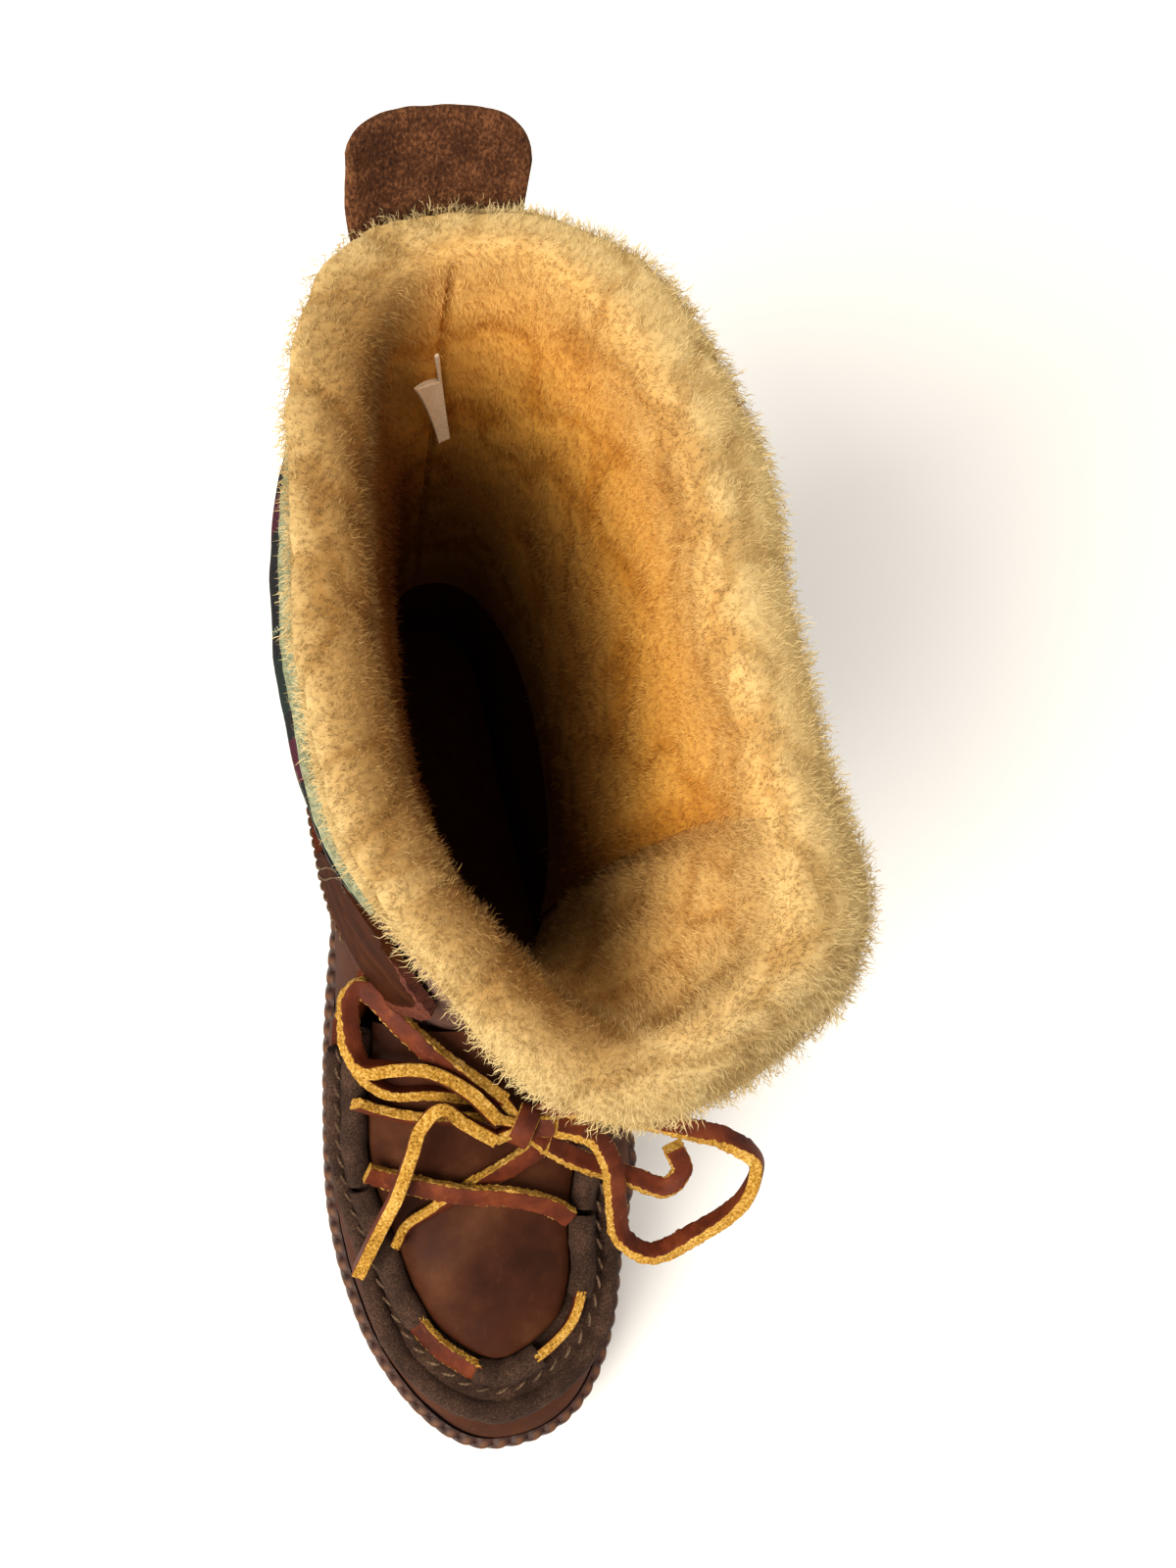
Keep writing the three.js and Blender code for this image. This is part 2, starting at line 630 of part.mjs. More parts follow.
// laces over the apron: side, station and lift
const crossLowRows = [
  [-27.5, 213.5, 2.9], [-24, 208.5, 1.6], [-16.5, 205, 0.3], [-5, 200, 0], [7, 195.5, 0.2], [26, 186.5, 1],
];
const crossHighRows = [
  [24, 212, 2.4], [18, 208, 1.8], [6, 204, 4.2], [-8, 201.5, 4.6], [-19, 198, 3.4], [-28.5, 194.5, 3],
  [-34, 192.2, 4.6],
];
const tieMedialRows = [
  [-35.5, 173.2, 5], [-29.3, 175.7, 2.4], [-19.3, 178.9, 1.5], [-6.3, 180.8, 2.5], [3.7, 182.8, 4.7],
];
const tieSecondRows = [[-34.6, 163.2, 5.4], [-30.5, 168, 3.2], [-25, 171.3, 1.5], [-16, 172.6, 1.4]];
const tieLateralRows = [[26.5, 171, 1.1], [27.5, 176, 1.7], [25, 181, 3.5]];
const apronLace = (rows, steps) => lace(overRun(rows), steps);

// lace that shows where the casing is open at the toe
const toeStretch = (from, to) => lace(throatRun(from, to, 5, 0, 1.2), 4);

// free lace: side, station and height
function cord(rows, steps) {
  const path = new THREE.CatmullRomCurve3(rows.map((row) => at(...row)), false, 'centripetal');
  const centre = new THREE.Vector2();
  const corner = (turn) => new THREE.Vector2(CORD_RADIUS, 0).rotateAround(centre, turn * 2 * Math.PI);
  const section = new THREE.Shape(turns(TUBE_SIDES).map(corner));
  return new THREE.ExtrudeGeometry(section, { steps, bevelEnabled: false, extrudePath: path });
}

const KNOT = [11, 185, 93];
const loopMedialRows = [
  [3.1, 182.7, 97.4], [-4, 174.8, 101], [-14, 168.3, 103], [-24.5, 165.8, 103.3], [-32.4, 164.4, 102],
  [-34.6, 159.5, 102], [-34.2, 151, 104.2], [-32.2, 143, 105.8], [-27.5, 146.5, 106], [-20, 155.5, 105.5],
  [-12.5, 163.5, 103.2], [-3.5, 170.5, 98.5], [5.8, 177.6, 95.5],
];
const loopLateralRows = [
  [18.9, 181.3, 96.3], [29, 183, 100.5], [42, 187, 103], [55.5, 192, 103.5], [67, 196.5, 102.5],
  [75, 203.5, 98.5], [71, 213.5, 91.5], [58, 221, 82], [45, 225, 73], [38, 219.5, 72.5],
  [36.3, 210, 80], [35, 199, 89.5], [30, 190.5, 96], [19.4, 186.5, 98],
];
const endMedialRows = [
  [2, 187.7, 95.7], [-6.5, 182.4, 99.5], [-12.5, 178.5, 102.5], [-18, 182.5, 100], [-21.5, 189.7, 94.5],
  [-26.4, 199.6, 86], [-32.8, 209.6, 75.5], [-39, 219.3, 66.5],
];
const endLateralRows = [
  [16.9, 190.6, 90.8], [27, 196.5, 84.5], [41, 202.5, 80.5], [51, 207, 82], [55.5, 203, 86.5], [53, 196, 92],
];

function knot() {
  const ball = new THREE.SphereGeometry(1, 12, 8);
  ball.scale(8.2, 6.6, 6);
  const middle = at(...KNOT);
  ball.translate(middle.x, middle.y, middle.z);
  return ball;
}

// ---------------------------------------------------------------- the boot
const leather = { color: 0x70462d, roughness: 0.62, metalness: 0 };
const apronLeather = { color: 0x5f3b29, roughness: 0.6, metalness: 0 };
const suede = { color: 0x4c4038, roughness: 0.95, metalness: 0 };
const tabSuede = { color: 0x6b4226, roughness: 0.95, metalness: 0 };
const shearling = { color: 0xdcae66, roughness: 1, metalness: 0 };
const wool = { color: 0x2a2a33, roughness: 0.95, metalness: 0 };
const woolEdge = { color: 0xa9bfb0, roughness: 0.95, metalness: 0 };
const rawhide = { color: 0xa8691f, roughness: 0.8, metalness: 0 };
const labelTape = { color: 0xe9dfca, roughness: 0.9, metalness: 0 };
const rimRubber = { color: 0x5a3524, roughness: 0.6, metalness: 0 };
const soleRubber = { color: 0x6e5230, roughness: 0.7, metalness: 0 };

const group = new THREE.Group();

function add(name, geometry, finish) {
  const mesh = new THREE.Mesh(geometry, new THREE.MeshStandardMaterial(finish));
  mesh.name = name;
  group.add(mesh);
}

add('outsole', outsole(), soleRubber);
add('midsole', midsole(), rimRubber);
add('insole', insole(), shearling);
add('upper', upper(), leather);
add('apron', apron(), apronLeather);
add('moc_roll', mocRoll(), suede);
add('casing_medial', casing(0.02, 0.382, 13), suede);
add('casing_toe', casing(0.467, 0.545, 5), suede);
add('casing_lateral', casing(0.628, 0.99, 13), suede);
add('shaft', shaft(), wool);
add('collar_edge', collarEdge(), woolEdge);
add('tongue', tongue(), apronLeather);
add('shaft_fleece', shaftFleece(), shearling);
add('tongue_fleece', tongueFleece(), shearling);

add('eyestay_medial', eyestay(-1), leather);
add('eyestay_lateral', eyestay(1), leather);
add('pull_tab', pullTab(), tabSuede);
add('label', label(), labelTape);
add('lace_cross_low', apronLace(crossLowRows, 9), rawhide);
add('lace_cross_high', apronLace(crossHighRows, 10), rawhide);
add('lace_tie_medial', apronLace(tieMedialRows, 8), rawhide);
add('lace_tie_second', apronLace(tieSecondRows, 5), rawhide);
add('lace_tie_lateral', apronLace(tieLateralRows, 5), rawhide);
add('lace_toe_medial', toeStretch(0.386, 0.463), rawhide);
add('lace_toe_lateral', toeStretch(0.549, 0.624), rawhide);
add('lace_knot', knot(), rawhide);
add('lace_loop_medial', cord(loopMedialRows, 17), rawhide);
add('lace_loop_lateral', cord(loopLateralRows, 21), rawhide);
add('lace_end_medial', cord(endMedialRows, 8), rawhide);
add('lace_end_lateral', cord(endLateralRows, 8), rawhide);

export default group;
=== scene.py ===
# Sheepskin-lined lace-up boot, the wearer's left: the looks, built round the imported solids.
# The shapes are worked out in millimetres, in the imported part's own frame, and made into meshes in metres.
import math
import bpy
import numpy as np
from mathutils import Euler, Matrix


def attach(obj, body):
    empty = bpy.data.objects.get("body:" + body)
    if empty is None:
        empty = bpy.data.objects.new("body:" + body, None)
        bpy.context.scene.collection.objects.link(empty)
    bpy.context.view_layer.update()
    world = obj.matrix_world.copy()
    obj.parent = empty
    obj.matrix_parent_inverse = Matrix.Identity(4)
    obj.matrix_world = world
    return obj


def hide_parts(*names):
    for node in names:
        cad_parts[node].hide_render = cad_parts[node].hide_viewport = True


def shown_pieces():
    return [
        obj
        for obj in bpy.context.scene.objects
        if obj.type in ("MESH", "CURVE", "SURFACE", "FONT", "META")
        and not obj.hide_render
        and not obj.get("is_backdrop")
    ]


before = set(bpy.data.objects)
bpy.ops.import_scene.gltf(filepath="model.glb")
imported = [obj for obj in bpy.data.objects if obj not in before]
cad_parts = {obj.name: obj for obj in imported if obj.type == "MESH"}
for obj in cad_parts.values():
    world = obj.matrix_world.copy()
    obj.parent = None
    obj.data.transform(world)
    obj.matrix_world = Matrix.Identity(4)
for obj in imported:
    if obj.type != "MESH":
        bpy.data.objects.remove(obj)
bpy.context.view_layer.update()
world = bpy.context.scene.world or bpy.data.worlds.new("studio")
bpy.context.scene.world = world
mm = 0.001

camera = {
    "place": (-0.0392, -0.1707, 0.5868),
    "turn": (14.715, -7.508, -7.392),  # degrees
    "lens": 39.375,
    "sensor": 36.0,
}


def makeCamera():
    data = bpy.data.cameras.new("viewCamera")
    data.sensor_fit = "VERTICAL"
    data.sensor_height = camera["sensor"]
    data.lens = camera["lens"]
    data.clip_start = 0.01
    view = bpy.data.objects.new("viewCamera", data)
    view.location = camera["place"]
    view.rotation_euler = Euler([math.radians(angle) for angle in camera["turn"]])
    bpy.context.collection.objects.link(view)
    bpy.context.scene.camera = view


makeCamera()
bpy.context.scene.view_settings.view_transform = "Standard"
print("camera set")

# sizes in mm: the solids' own, but for the roll over the toes and the facings' edges, set a little closer here
sizes = {
    "footLength": 278, "heelStation": 38, "leather": 2, "wool": 3, "gap": 0.35, "casingRadius": 3.9,
    "outsoleThick": 9, "rimWidth": 3.4, "rimDepth": 3, "facingGap": 1.1, "quarterLevel": 0.09, "edgeBand": 0.03,
    "pileTop": 11, "pileLow": 9,
}
outlineSizes = {"heelCap": 34, "heelRound": 2.2, "toeCap": 46, "toeRound": 2.3}
legSizes = {"collarHeight": 241, "collarDip": 35, "ankleHeight": 95, "ankleRise": 4.5, "squareness": 2.25}
lobe = {"angle": 131, "width": 16, "reach": 7}  # the lateral front corner of the collar
flare = {"angle": -112, "width": 17, "reach": 6, "from": 0.7}  # how the soft medial edge leans out, here only
rollSizes = {"radius": 2.8, "swell": 0.6, "out": 5.3, "spread": 5.5, "down": 5.6, "middle": 0.475, "reach": 0.23,
             "end": 0.04}
tuck = {"middle": 0.27, "reach": 0.13, "in": 2.6, "up": 1.2, "stitches": 0.7}  # of the roll, on the medial side
upperShape = {"ankleEdge": 133, "quarterGap": 0.8, "underRoll": 0.3, "edgeOut": 1.8, "footIn": 0.4,
              "low": 0.4, "lowOut": 1.5, "high": 0.35, "highOut": 2.2}
apronSizes = {"crown": 5, "crownFrom": 0.3, "crownTo": 0.5, "from": 0.008, "to": 0.488, "bow": 0.026, "raise": 0.6}
outlineTable = {
    "station": (0, 35, 70, 105, 135, 162, 195, 215, 232, 256, 278),
    "medial": (29, 31, 33, 37, 42, 45.2, 47.2, 45.6, 41.8, 35, 29),
    "lateral": (29, 32, 35, 40, 46, 51.5, 54.2, 48.9, 43.9, 39.6, 39),
}
soleTable = {
    "station": (0, 12, 70, 92, 112, 134, 214, 245, 278),
    "under": (1.5, 0, 0, 4.5, 4.5, 0, 0, 3, 10),
    "feather": (28, 28, 27, 26, 24.5, 23, 22, 24, 28),
}
legTable = {
    "level": (0, 0.3, 0.6, 0.85, 1),
    "back": (9, 8, 3, -6, -12),
    "widest": (84, 84, 84, 86, 88),
    "front": (157, 158, 165, 177, 185),
    "medial": (-38, -39, -40, -41, -42),
    "lateral": (40, 43, 50, 58, 62),
    "lean": (0, 2, 6, 12, 17),
    "medialSeam": (127, 126, 124, 122, 122),
    "lateralSeam": (127, 123, 119, 114, 113),
}
overhangTable = {
    "angle": (-180, -150, -122, -90, -40, 0, 45, 74, 90, 106, 116, 127, 150, 166, 180),
    "reach": (7, 2.5, -1, -2.4, -1.5, 0, 4, 5.6, 4.6, 3.4, 6, 9, 8.4, 7, 7),
}
facingTable = {
    "level": (0.09, 0.16, 0.32, 0.5, 0.68, 0.84),
    "back": (97, 99, 104, 108, 112, 115),
    "medialBack": (103, 105, 109, 112, 115, 118),
    "front": (150, 154, 158, 154, 143, 130),
}
throatTable = {
    "station": (149, 171, 193, 212, 230, 244),
    "medial": (-32.5, -35.8, -36.4, -31.5, -26.3, -17.5),
    "lateral": (28.5, 33, 32.2, 28.2, 26.6, 19.8),
    "height": (97.5, 84, 71, 62.5, 58.5, 56.5),
}
throatToe = {"side": -1, "station": 253.6, "height": 56}
step = {"turn": 0.004, "level": 0.02, "angle": 0.8, "share": 0.002}  # either side of a point, to find directions


# numbers, curves and lumps
def readTable(table, column, place):  # smooth value between the rows of a table, whose first column is its key
    keys = np.array(next(iter(table.values())), float)
    values = np.array(table[column], float)
    place = np.asarray(place, float)
    slope = np.empty_like(values)
    slope[1:-1] = (values[2:] - values[:-2]) / (keys[2:] - keys[:-2])
    for end, near in ((0, 1), (-1, -2)):
        slope[end] = (values[end] - values[near]) / (keys[end] - keys[near])
    low = np.clip(np.searchsorted(keys, place, side="left") - 1, 0, len(keys) - 2)
    span = keys[low + 1] - keys[low]
    t = np.clip((place - keys[low]) / span, 0, 1)
    return ((2 * t**3 - 3 * t**2 + 1) * values[low] + (t**3 - 2 * t**2 + t) * span * slope[low]
            + (3 * t**2 - 2 * t**3) * values[low + 1] + (t**3 - t**2) * span * slope[low + 1])


def spread(*values):
    return np.broadcast_arrays(*(np.asarray(value, float) for value in values))


def stack(x, y, z):
    return np.stack(spread(x, y, z), -1)


def unit(vectors):
    return vectors / np.maximum(np.linalg.norm(vectors, axis=-1, keepdims=True), 1e-9)


def smoothStep(value, low, high):
    t = np.clip((np.asarray(value, float) - low) / (high - low), 0, 1)
    return t * t * (3 - 2 * t)


def bell(value, middle, width):
    return np.exp(-((value - middle) / width) ** 2)


def ripple(points, size, seed=0):  # smooth repeatable lumps, about -1..1, of a size in mm
    phase = np.random.default_rng(seed).uniform(0, 6.28, (6, 3))
    total = 0
    for i, (a, b, c) in enumerate([(1, 0.3, 0.2), (-0.2, 1, 0.4), (0.3, -0.4, 1),
                                   (0.9, 0.8, -0.3), (-0.7, 0.6, 0.8), (0.5, -1.1, 0.6)]):
        where = (points[..., 0] * a + points[..., 1] * b + points[..., 2] * c) * 2 * math.pi / size
        total = total + np.sin(where + phase[i, 0] + 1.7 * np.sin(where * 0.37 + phase[i, 1]))
    return total / 4


def ripples(points, *layers):  # lumps of several kinds together: height, size and seed of each
    total = 0
    for height, size, seed in layers:
        total = total + height * ripple(points, size, seed)
    return total


def lengthAlong(line):
    return np.concatenate([[0], np.cumsum(np.linalg.norm(np.diff(line, axis=0), axis=1))])


def readLine(line, keys, at):  # points of a line at values of its keys
    return np.stack([np.interp(at, keys, line[:, k]) for k in range(3)], -1)


def splinePath(points, count, dense=40):  # centripetal curve through points, evenly spaced
    points = np.asarray(points, float)
    ends = np.vstack([2 * points[0] - points[1], points, 2 * points[-1] - points[-2]])
    line = []
    for p in (ends[i:i + 4] for i in range(len(points) - 1)):
        knots = np.cumsum([0] + [max(np.linalg.norm(p[k + 1] - p[k]), 1e-4) ** 0.5 for k in range(3)])
        t = np.linspace(knots[1], knots[2], dense, endpoint=False)[:, None]

        def mix(a, b, i, j):  # between two curves, by the knots i and j
            return (knots[j] - t) / (knots[j] - knots[i]) * a + (t - knots[i]) / (knots[j] - knots[i]) * b

        a = [mix(p[k], p[k + 1], k, k + 1) for k in range(3)]
        line.append(mix(mix(a[0], a[1], 0, 2), mix(a[1], a[2], 1, 3), 1, 2))
    line = np.vstack(line + [points[-1:]])
    reach = lengthAlong(line)
    return readLine(line, reach, np.linspace(0, reach[-1], count))


def toY(station):
    return sizes["heelStation"] - np.asarray(station, float)


# surfaces of the boot: round the sole, up the leg, along the throat and over the upper
def outlineSide(station, column):
    heel = (outlineSizes["heelCap"] - station) / outlineSizes["heelCap"]
    toe = (station - sizes["footLength"] + outlineSizes["toeCap"]) / outlineSizes["toeCap"]
    heel, toe = ((1 - np.clip(cap, 0, 1) ** power) ** (1 / power)
                 for cap, power in ((heel, outlineSizes["heelRound"]), (toe, outlineSizes["toeRound"])))
    return readTable(outlineTable, column, station) * heel * toe


def rawOutline(turn):
    turn = np.mod(turn, 1)
    station = sizes["footLength"] / 2 * (1 - np.cos(turn * 2 * math.pi))
    side = np.where(turn < 0.5, outlineSide(station, "lateral"), -outlineSide(station, "medial"))
    return np.stack([side, station], -1)


def outlinePoint(turn, inset=0.0):
    turn = np.asarray(turn, float)
    run = rawOutline(turn + step["turn"]) - rawOutline(turn - step["turn"])
    inward = unit(np.stack([-run[..., 1], run[..., 0]], -1))
    return rawOutline(turn) + inward * np.asarray(inset, float)[..., None]


def evenTurns(count):  # turns that space points evenly round the outline
    fine = np.linspace(0, 1, 1441)
    reach = lengthAlong(rawOutline(fine))
    return np.interp(np.arange(count) / count * reach[-1], reach, fine)


def under(station):
    return np.maximum(readTable(soleTable, "under", station), 0)


def feather(station):
    return readTable(soleTable, "feather", station)


def insoleHeight(station):
    return feather(station) - sizes["rimDepth"] + sizes["gap"]


def solePoint(turn, inset, heightOf):
    flat = outlinePoint(turn, np.broadcast_to(inset, np.shape(turn)))
    return stack(flat[..., 0], toY(flat[..., 1]), heightOf(flat[..., 1]))


def legSurface(angle, level):
    angle, level = spread(angle, level)
    place = np.clip(level, 0, 1)
    back, widest, front, medial, lateral, lean = (
        readTable(legTable, name, place) for name in ("back", "widest", "front", "medial", "lateral", "lean"))
    along = np.cos(np.radians(angle))
    across = np.sin(np.radians(angle))
    power = 2 / legSizes["squareness"]
    alongShare = np.abs(along) ** power
    acrossShare = np.sign(across) * np.abs(across) ** power
    station = widest + np.where(along > 0, -(widest - back), front - widest) * alongShare
    side = (medial + lateral) / 2 + np.where(along < 0, lean * alongShare, 0) + (lateral - medial) / 2 * acrossShare
    ahead = ((1 - along) / 2) ** 4
    low = legSizes["ankleHeight"] + legSizes["ankleRise"] * ahead
    high = legSizes["collarHeight"] - legSizes["collarDip"] * ahead
    turned = np.mod(angle, 360)
    out = lobe["reach"] * bell(turned, lobe["angle"], lobe["width"]) * place**5
    return stack(side + out * np.sin(np.radians(turned)), toY(station - out * np.cos(np.radians(turned))),
                 low + (high - low) * level)


def legPoint(angle, level, out=0.0, lift=0.0):
    angle, level, out, lift = spread(angle, level, out, lift)
    signed = (angle + 180) % 360 - 180
    out = out + flare["reach"] * bell(signed, flare["angle"], flare["width"]) * smoothStep(level, flare["from"], 1)
    top = np.minimum(level + step["level"], 1)
    up = unit(legSurface(angle, top) - legSurface(angle, top - 2 * step["level"]))
    around = unit(legSurface(angle + step["angle"], level) - legSurface(angle - step["angle"], level))
    outward = unit(np.cross(up, around))
    return legSurface(angle, level) + outward * out[..., None] + up * lift[..., None]


def shaftAngle(share, level):
    share, level = spread(share, level)
    medial, lateral = (readTable(legTable, seam, level) for seam in ("medialSeam", "lateralSeam"))
    return share * (np.where(share < 0, medial, lateral) - sizes["gap"])


def tongueAngle(share, level):
    share, level = spread(share, level)
    first = readTable(legTable, "lateralSeam", level) + sizes["gap"]
    last = 360 - readTable(legTable, "medialSeam", level) - sizes["gap"]
    return first + (last - first) * share


def facingAngle(sign):
    def angleOf(share, level):
        back = readTable(facingTable, "back" if sign > 0 else "medialBack", level)
        front = readTable(facingTable, "front", level)
        return sign * (back + (front - back) * share)
    return angleOf


def makeThroatLine():
    stations, heights = toY(throatTable["station"]), throatTable["height"]
    medial, lateral = (list(zip(throatTable[side], stations, heights)) for side in ("medial", "lateral"))
    toe = (throatToe["side"], toY(throatToe["station"]), throatToe["height"])
    return splinePath(medial + [toe] + lateral[::-1], 1201, 60)


throatLine = makeThroatLine()


def throatPoint(share, out=0.0, lift=0.0):
    share, out, lift = spread(share, out, lift)
    place, ahead, behind = (readLine(throatLine, np.linspace(0, 1, len(throatLine)), at) for at in (
        share, np.minimum(share + step["share"], 1), np.maximum(share - step["share"], 0)))
    run = ahead - behind
    outward = unit(stack(run[..., 1], -run[..., 0], 0))  # the line runs medial, toe, lateral
    return place + outward * out[..., None] + stack(0, 0, lift)


def apronPoint(share, across, lift=0.0):
    inset = -sizes["casingRadius"] - sizes["gap"]
    left = throatPoint(share, inset)
    right = throatPoint(1 - np.asarray(share), inset)
    across = np.asarray(across, float)
    crown = apronSizes["crown"] * (1 - smoothStep(share, apronSizes["crownFrom"], apronSizes["crownTo"]))
    crown = crown * (1 - across**2)
    mix = ((across + 1) / 2)[..., None]
    return left * (1 - mix) + right * mix + stack(0, 0, crown + lift)


def overApron(side, station, lift):  # height over the apron at a side and station
    low, high = 0.0, 0.5
    for _ in range(24):
        middle = (low + high) / 2
        if throatPoint(middle)[1] > toY(station):
            low = middle
        else:
            high = middle
    left, right = (apronPoint(np.float64(low), end)[0] for end in (-1, 1))
    across = min(max(2 * (side - left) / (right - left) - 1, -1), 1)
    return apronPoint(np.float64(low), np.float64(across), apronSizes["raise"] + lift)[2]


def rollSwell(share):  # the moccasin's roll stands further out and is thicker over the toes
    return bell(share, rollSizes["middle"], rollSizes["reach"])


def rollTuck(share):  # on the medial side it is drawn in closer to the casings
    return bell(share, tuck["middle"], tuck["reach"])


def rollOut(share):
    return rollSizes["out"] + rollSizes["spread"] * rollSwell(share) - tuck["in"] * rollTuck(share)


def rollDown(share):
    return rollSizes["down"] - tuck["up"] * rollTuck(share)


def rollRadius(share):
    return rollSizes["radius"] + rollSizes["swell"] * rollSwell(share)


def upperEdge(turn):  # the quarter's edge round the ankle, then under the roll to the toe
    turn = np.mod(turn, 1)
    half = np.where(turn < 0.5, turn * 2, (1 - turn) * 2)
    side = np.where(turn < 0.5, 1, -1)
    ankle = legPoint(side * np.minimum(half, 0.5) * 2 * upperShape["ankleEdge"], sizes["quarterLevel"],
                     sizes["leather"] + upperShape["quarterGap"])
    share = np.clip((half - 0.5) * 2, 0, 1)
    along = np.where(side > 0, 1 - share / 2, share / 2)
    ahead, behind = np.minimum(along + step["share"], 1), np.maximum(along - step["share"], 0)
    run = unit(throatPoint(ahead) - throatPoint(behind))
    slope = np.hypot(run[..., 0], run[..., 1])
    down = rollDown(along) + (rollRadius(along) + sizes["gap"] + upperShape["underRoll"]) / slope
    throat = throatPoint(along, rollOut(along) + upperShape["edgeOut"], -down)
    return np.where((half <= 0.5)[..., None], ankle, throat)


def upperSurface(turn, rise):
    turn, rise = spread(turn, rise)
    flat = outlinePoint(turn, sizes["rimWidth"] + sizes["gap"] + upperShape["footIn"])
    side, station = flat[..., 0], flat[..., 1]
    foot = stack(side, toY(station), insoleHeight(station))
    edge = upperEdge(turn)
    height = (edge - foot)[..., 2]
    outward = unit(stack(side, toY(station) - toY(sizes["footLength"] / 2), 0))
    low = foot + stack(0, 0, height * upperShape["low"]) + outward * upperShape["lowOut"]
    high = edge - stack(0, 0, height * upperShape["high"]) + outward * upperShape["highOut"]
    t = rise[..., None]
    return (1 - t)**3 * foot + 3 * (1 - t)**2 * t * low + 3 * (1 - t) * t**2 * high + t**3 * edge


def upperPoint(turn, rise, out=0.0):
    turn, rise, out = spread(turn, rise, out)
    low = np.minimum(np.maximum(rise - step["level"], 0), 1 - 2 * step["level"])
    up = unit(upperSurface(turn, low + 2 * step["level"]) - upperSurface(turn, low))
    around = unit(upperSurface(turn + step["turn"], rise) - upperSurface(turn - step["turn"], rise))
    return upperSurface(turn, rise) + unit(np.cross(up, around)) * out[..., None]


# meshes
def addPiece(name, mesh):
    piece = bpy.data.objects.new(name, mesh)
    bpy.context.collection.objects.link(piece)
    return piece


def makeMesh(name, points, faces, uv=None, attributes=None):
    mesh = bpy.data.meshes.new(name)
    mesh.from_pydata((np.asarray(points) * mm).tolist(), [], faces)
    mesh.validate()
    if uv is not None:
        layer = mesh.uv_layers.new(name="surface")
        index = np.empty(len(mesh.loops), int)
        mesh.loops.foreach_get("vertex_index", index)
        layer.data.foreach_set("uv", uv.reshape(-1, 2)[index].ravel())
    for key, values in (attributes or {}).items():
        kind, column = ("FLOAT", "value") if np.size(values) == len(mesh.vertices) else ("FLOAT_VECTOR", "vector")
        layer = mesh.attributes.new(key, kind, "POINT")
        layer.data.foreach_set(column, np.asarray(values, float).ravel())
    mesh.polygons.foreach_set("use_smooth", [True] * len(mesh.polygons))
    mesh.set_sharp_from_angle(angle=math.radians(60))
    return addPiece(name, mesh)


def loftFaces(rows, size, ring=False, split=None):
    # faces of a run of closed loops; the strips that cap its two ends join each loop's first part to its rest
    faces = []
    for i in range(rows if ring else rows - 1):
        here, above = i * size, ((i + 1) % rows) * size
        for j in range(size):
            k = (j + 1) % size
            faces.append((here + j, here + k, above + k, above + j))
    if not ring:
        last = (rows - 1) * size
        first = split or size // 2
        rest = size - first
        low, high = 0, 0  # steps taken up the first part, and back along the rest
        while low < first - 1 or high < rest - 1:
            a, b = low, size - 1 - high
            if high == rest - 1 or (low < first - 1 and (low + 1) * (rest - 1) <= (high + 1) * (first - 1)):
                low += 1
                face = (a, a + 1, b)
            else:
                high += 1
                face = (a, b - 1, b)
            faces.append(tuple(reversed(face)))
            faces.append(tuple(last + j for j in face))
    return faces


def loftPiece(name, loops, ring=False, split=None, **layers):  # loops is (rows, size, 3)
    loops = np.asarray(loops)
    flat = loops.reshape(-1, 3)
    faces = loftFaces(*loops.shape[:2], ring, split)
    fan = np.array([(f[0], f[i], f[i + 1]) for f in faces for i in range(1, len(f) - 1)])
    a, b, c = (flat[fan[:, k]] - flat.mean(0) for k in range(3))
    if (a * np.cross(b, c)).sum() < 0:
        faces = [tuple(reversed(f)) for f in faces]
    return makeMesh(name, flat, faces, **layers)


def tubeLoops(line, radius, sides):
    run = unit(np.gradient(line, axis=0))
    across = unit(np.cross(run, (0, 0, 1)))
    over = np.cross(across, run)
    turn = np.arange(sides) / sides * 2 * math.pi
    radius = np.broadcast_to(np.asarray(radius, float), (len(line),))[:, None, None]
    return (line[:, None] + across[:, None] * np.cos(turn)[None, :, None] * radius
            + over[:, None] * np.sin(turn)[None, :, None] * radius)


def joinPieces(name, pieces):
    points, faces, slots = [], [], []
    for piece in pieces:
        first = len(points)
        points += [tuple(vertex.co / mm) for vertex in piece.data.vertices]
        for face in piece.data.polygons:
            faces.append(tuple(first + k for k in face.vertices))
            slots.append(face.material_index)
        bpy.data.objects.remove(piece)
    whole = makeMesh(name, points, faces)
    whole.data.polygons.foreach_set("material_index", slots)
    return whole


def finish(piece, looks, slot, *nodes):  # materials, body, and hiding the solids it stands for; slot is not used
    for look in looks.split():
        piece.data.materials.append(finishes[look])
    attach(piece, "root")
    if nodes:
        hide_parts(*nodes)
    return piece


# materials
def linear(code):
    channels = [int(code[i:i + 2], 16) / 255 for i in (1, 3, 5)]
    return tuple(c / 12.92 if c <= 0.04045 else ((c + 0.055) / 1.055) ** 2.4 for c in channels) + (1.0,)


def feed(node, inputs):  # a socket is linked, a node gives its first output, anything else is the input's own value
    for key, value in inputs.items():
        if isinstance(value, bpy.types.Node):
            value = value.outputs[0]
        if isinstance(value, bpy.types.NodeSocket):
            node.id_data.links.new(value, node.inputs[key])
        else:
            node.inputs[key].default_value = value


def addNode(tree, kind, inputs=None, stops=None, **settings):  # stops: the places and tones of a colour ramp
    node = tree.nodes.new(kind)
    for key, value in settings.items():
        setattr(node, key, value)
    feed(node, inputs or {})
    if stops:
        elements = node.color_ramp.elements
        while len(elements) < len(stops):
            elements.new(0.5)
        for element, (place, tone) in zip(elements, stops):
            element.position = place
            element.color = linear(tone)
    return node


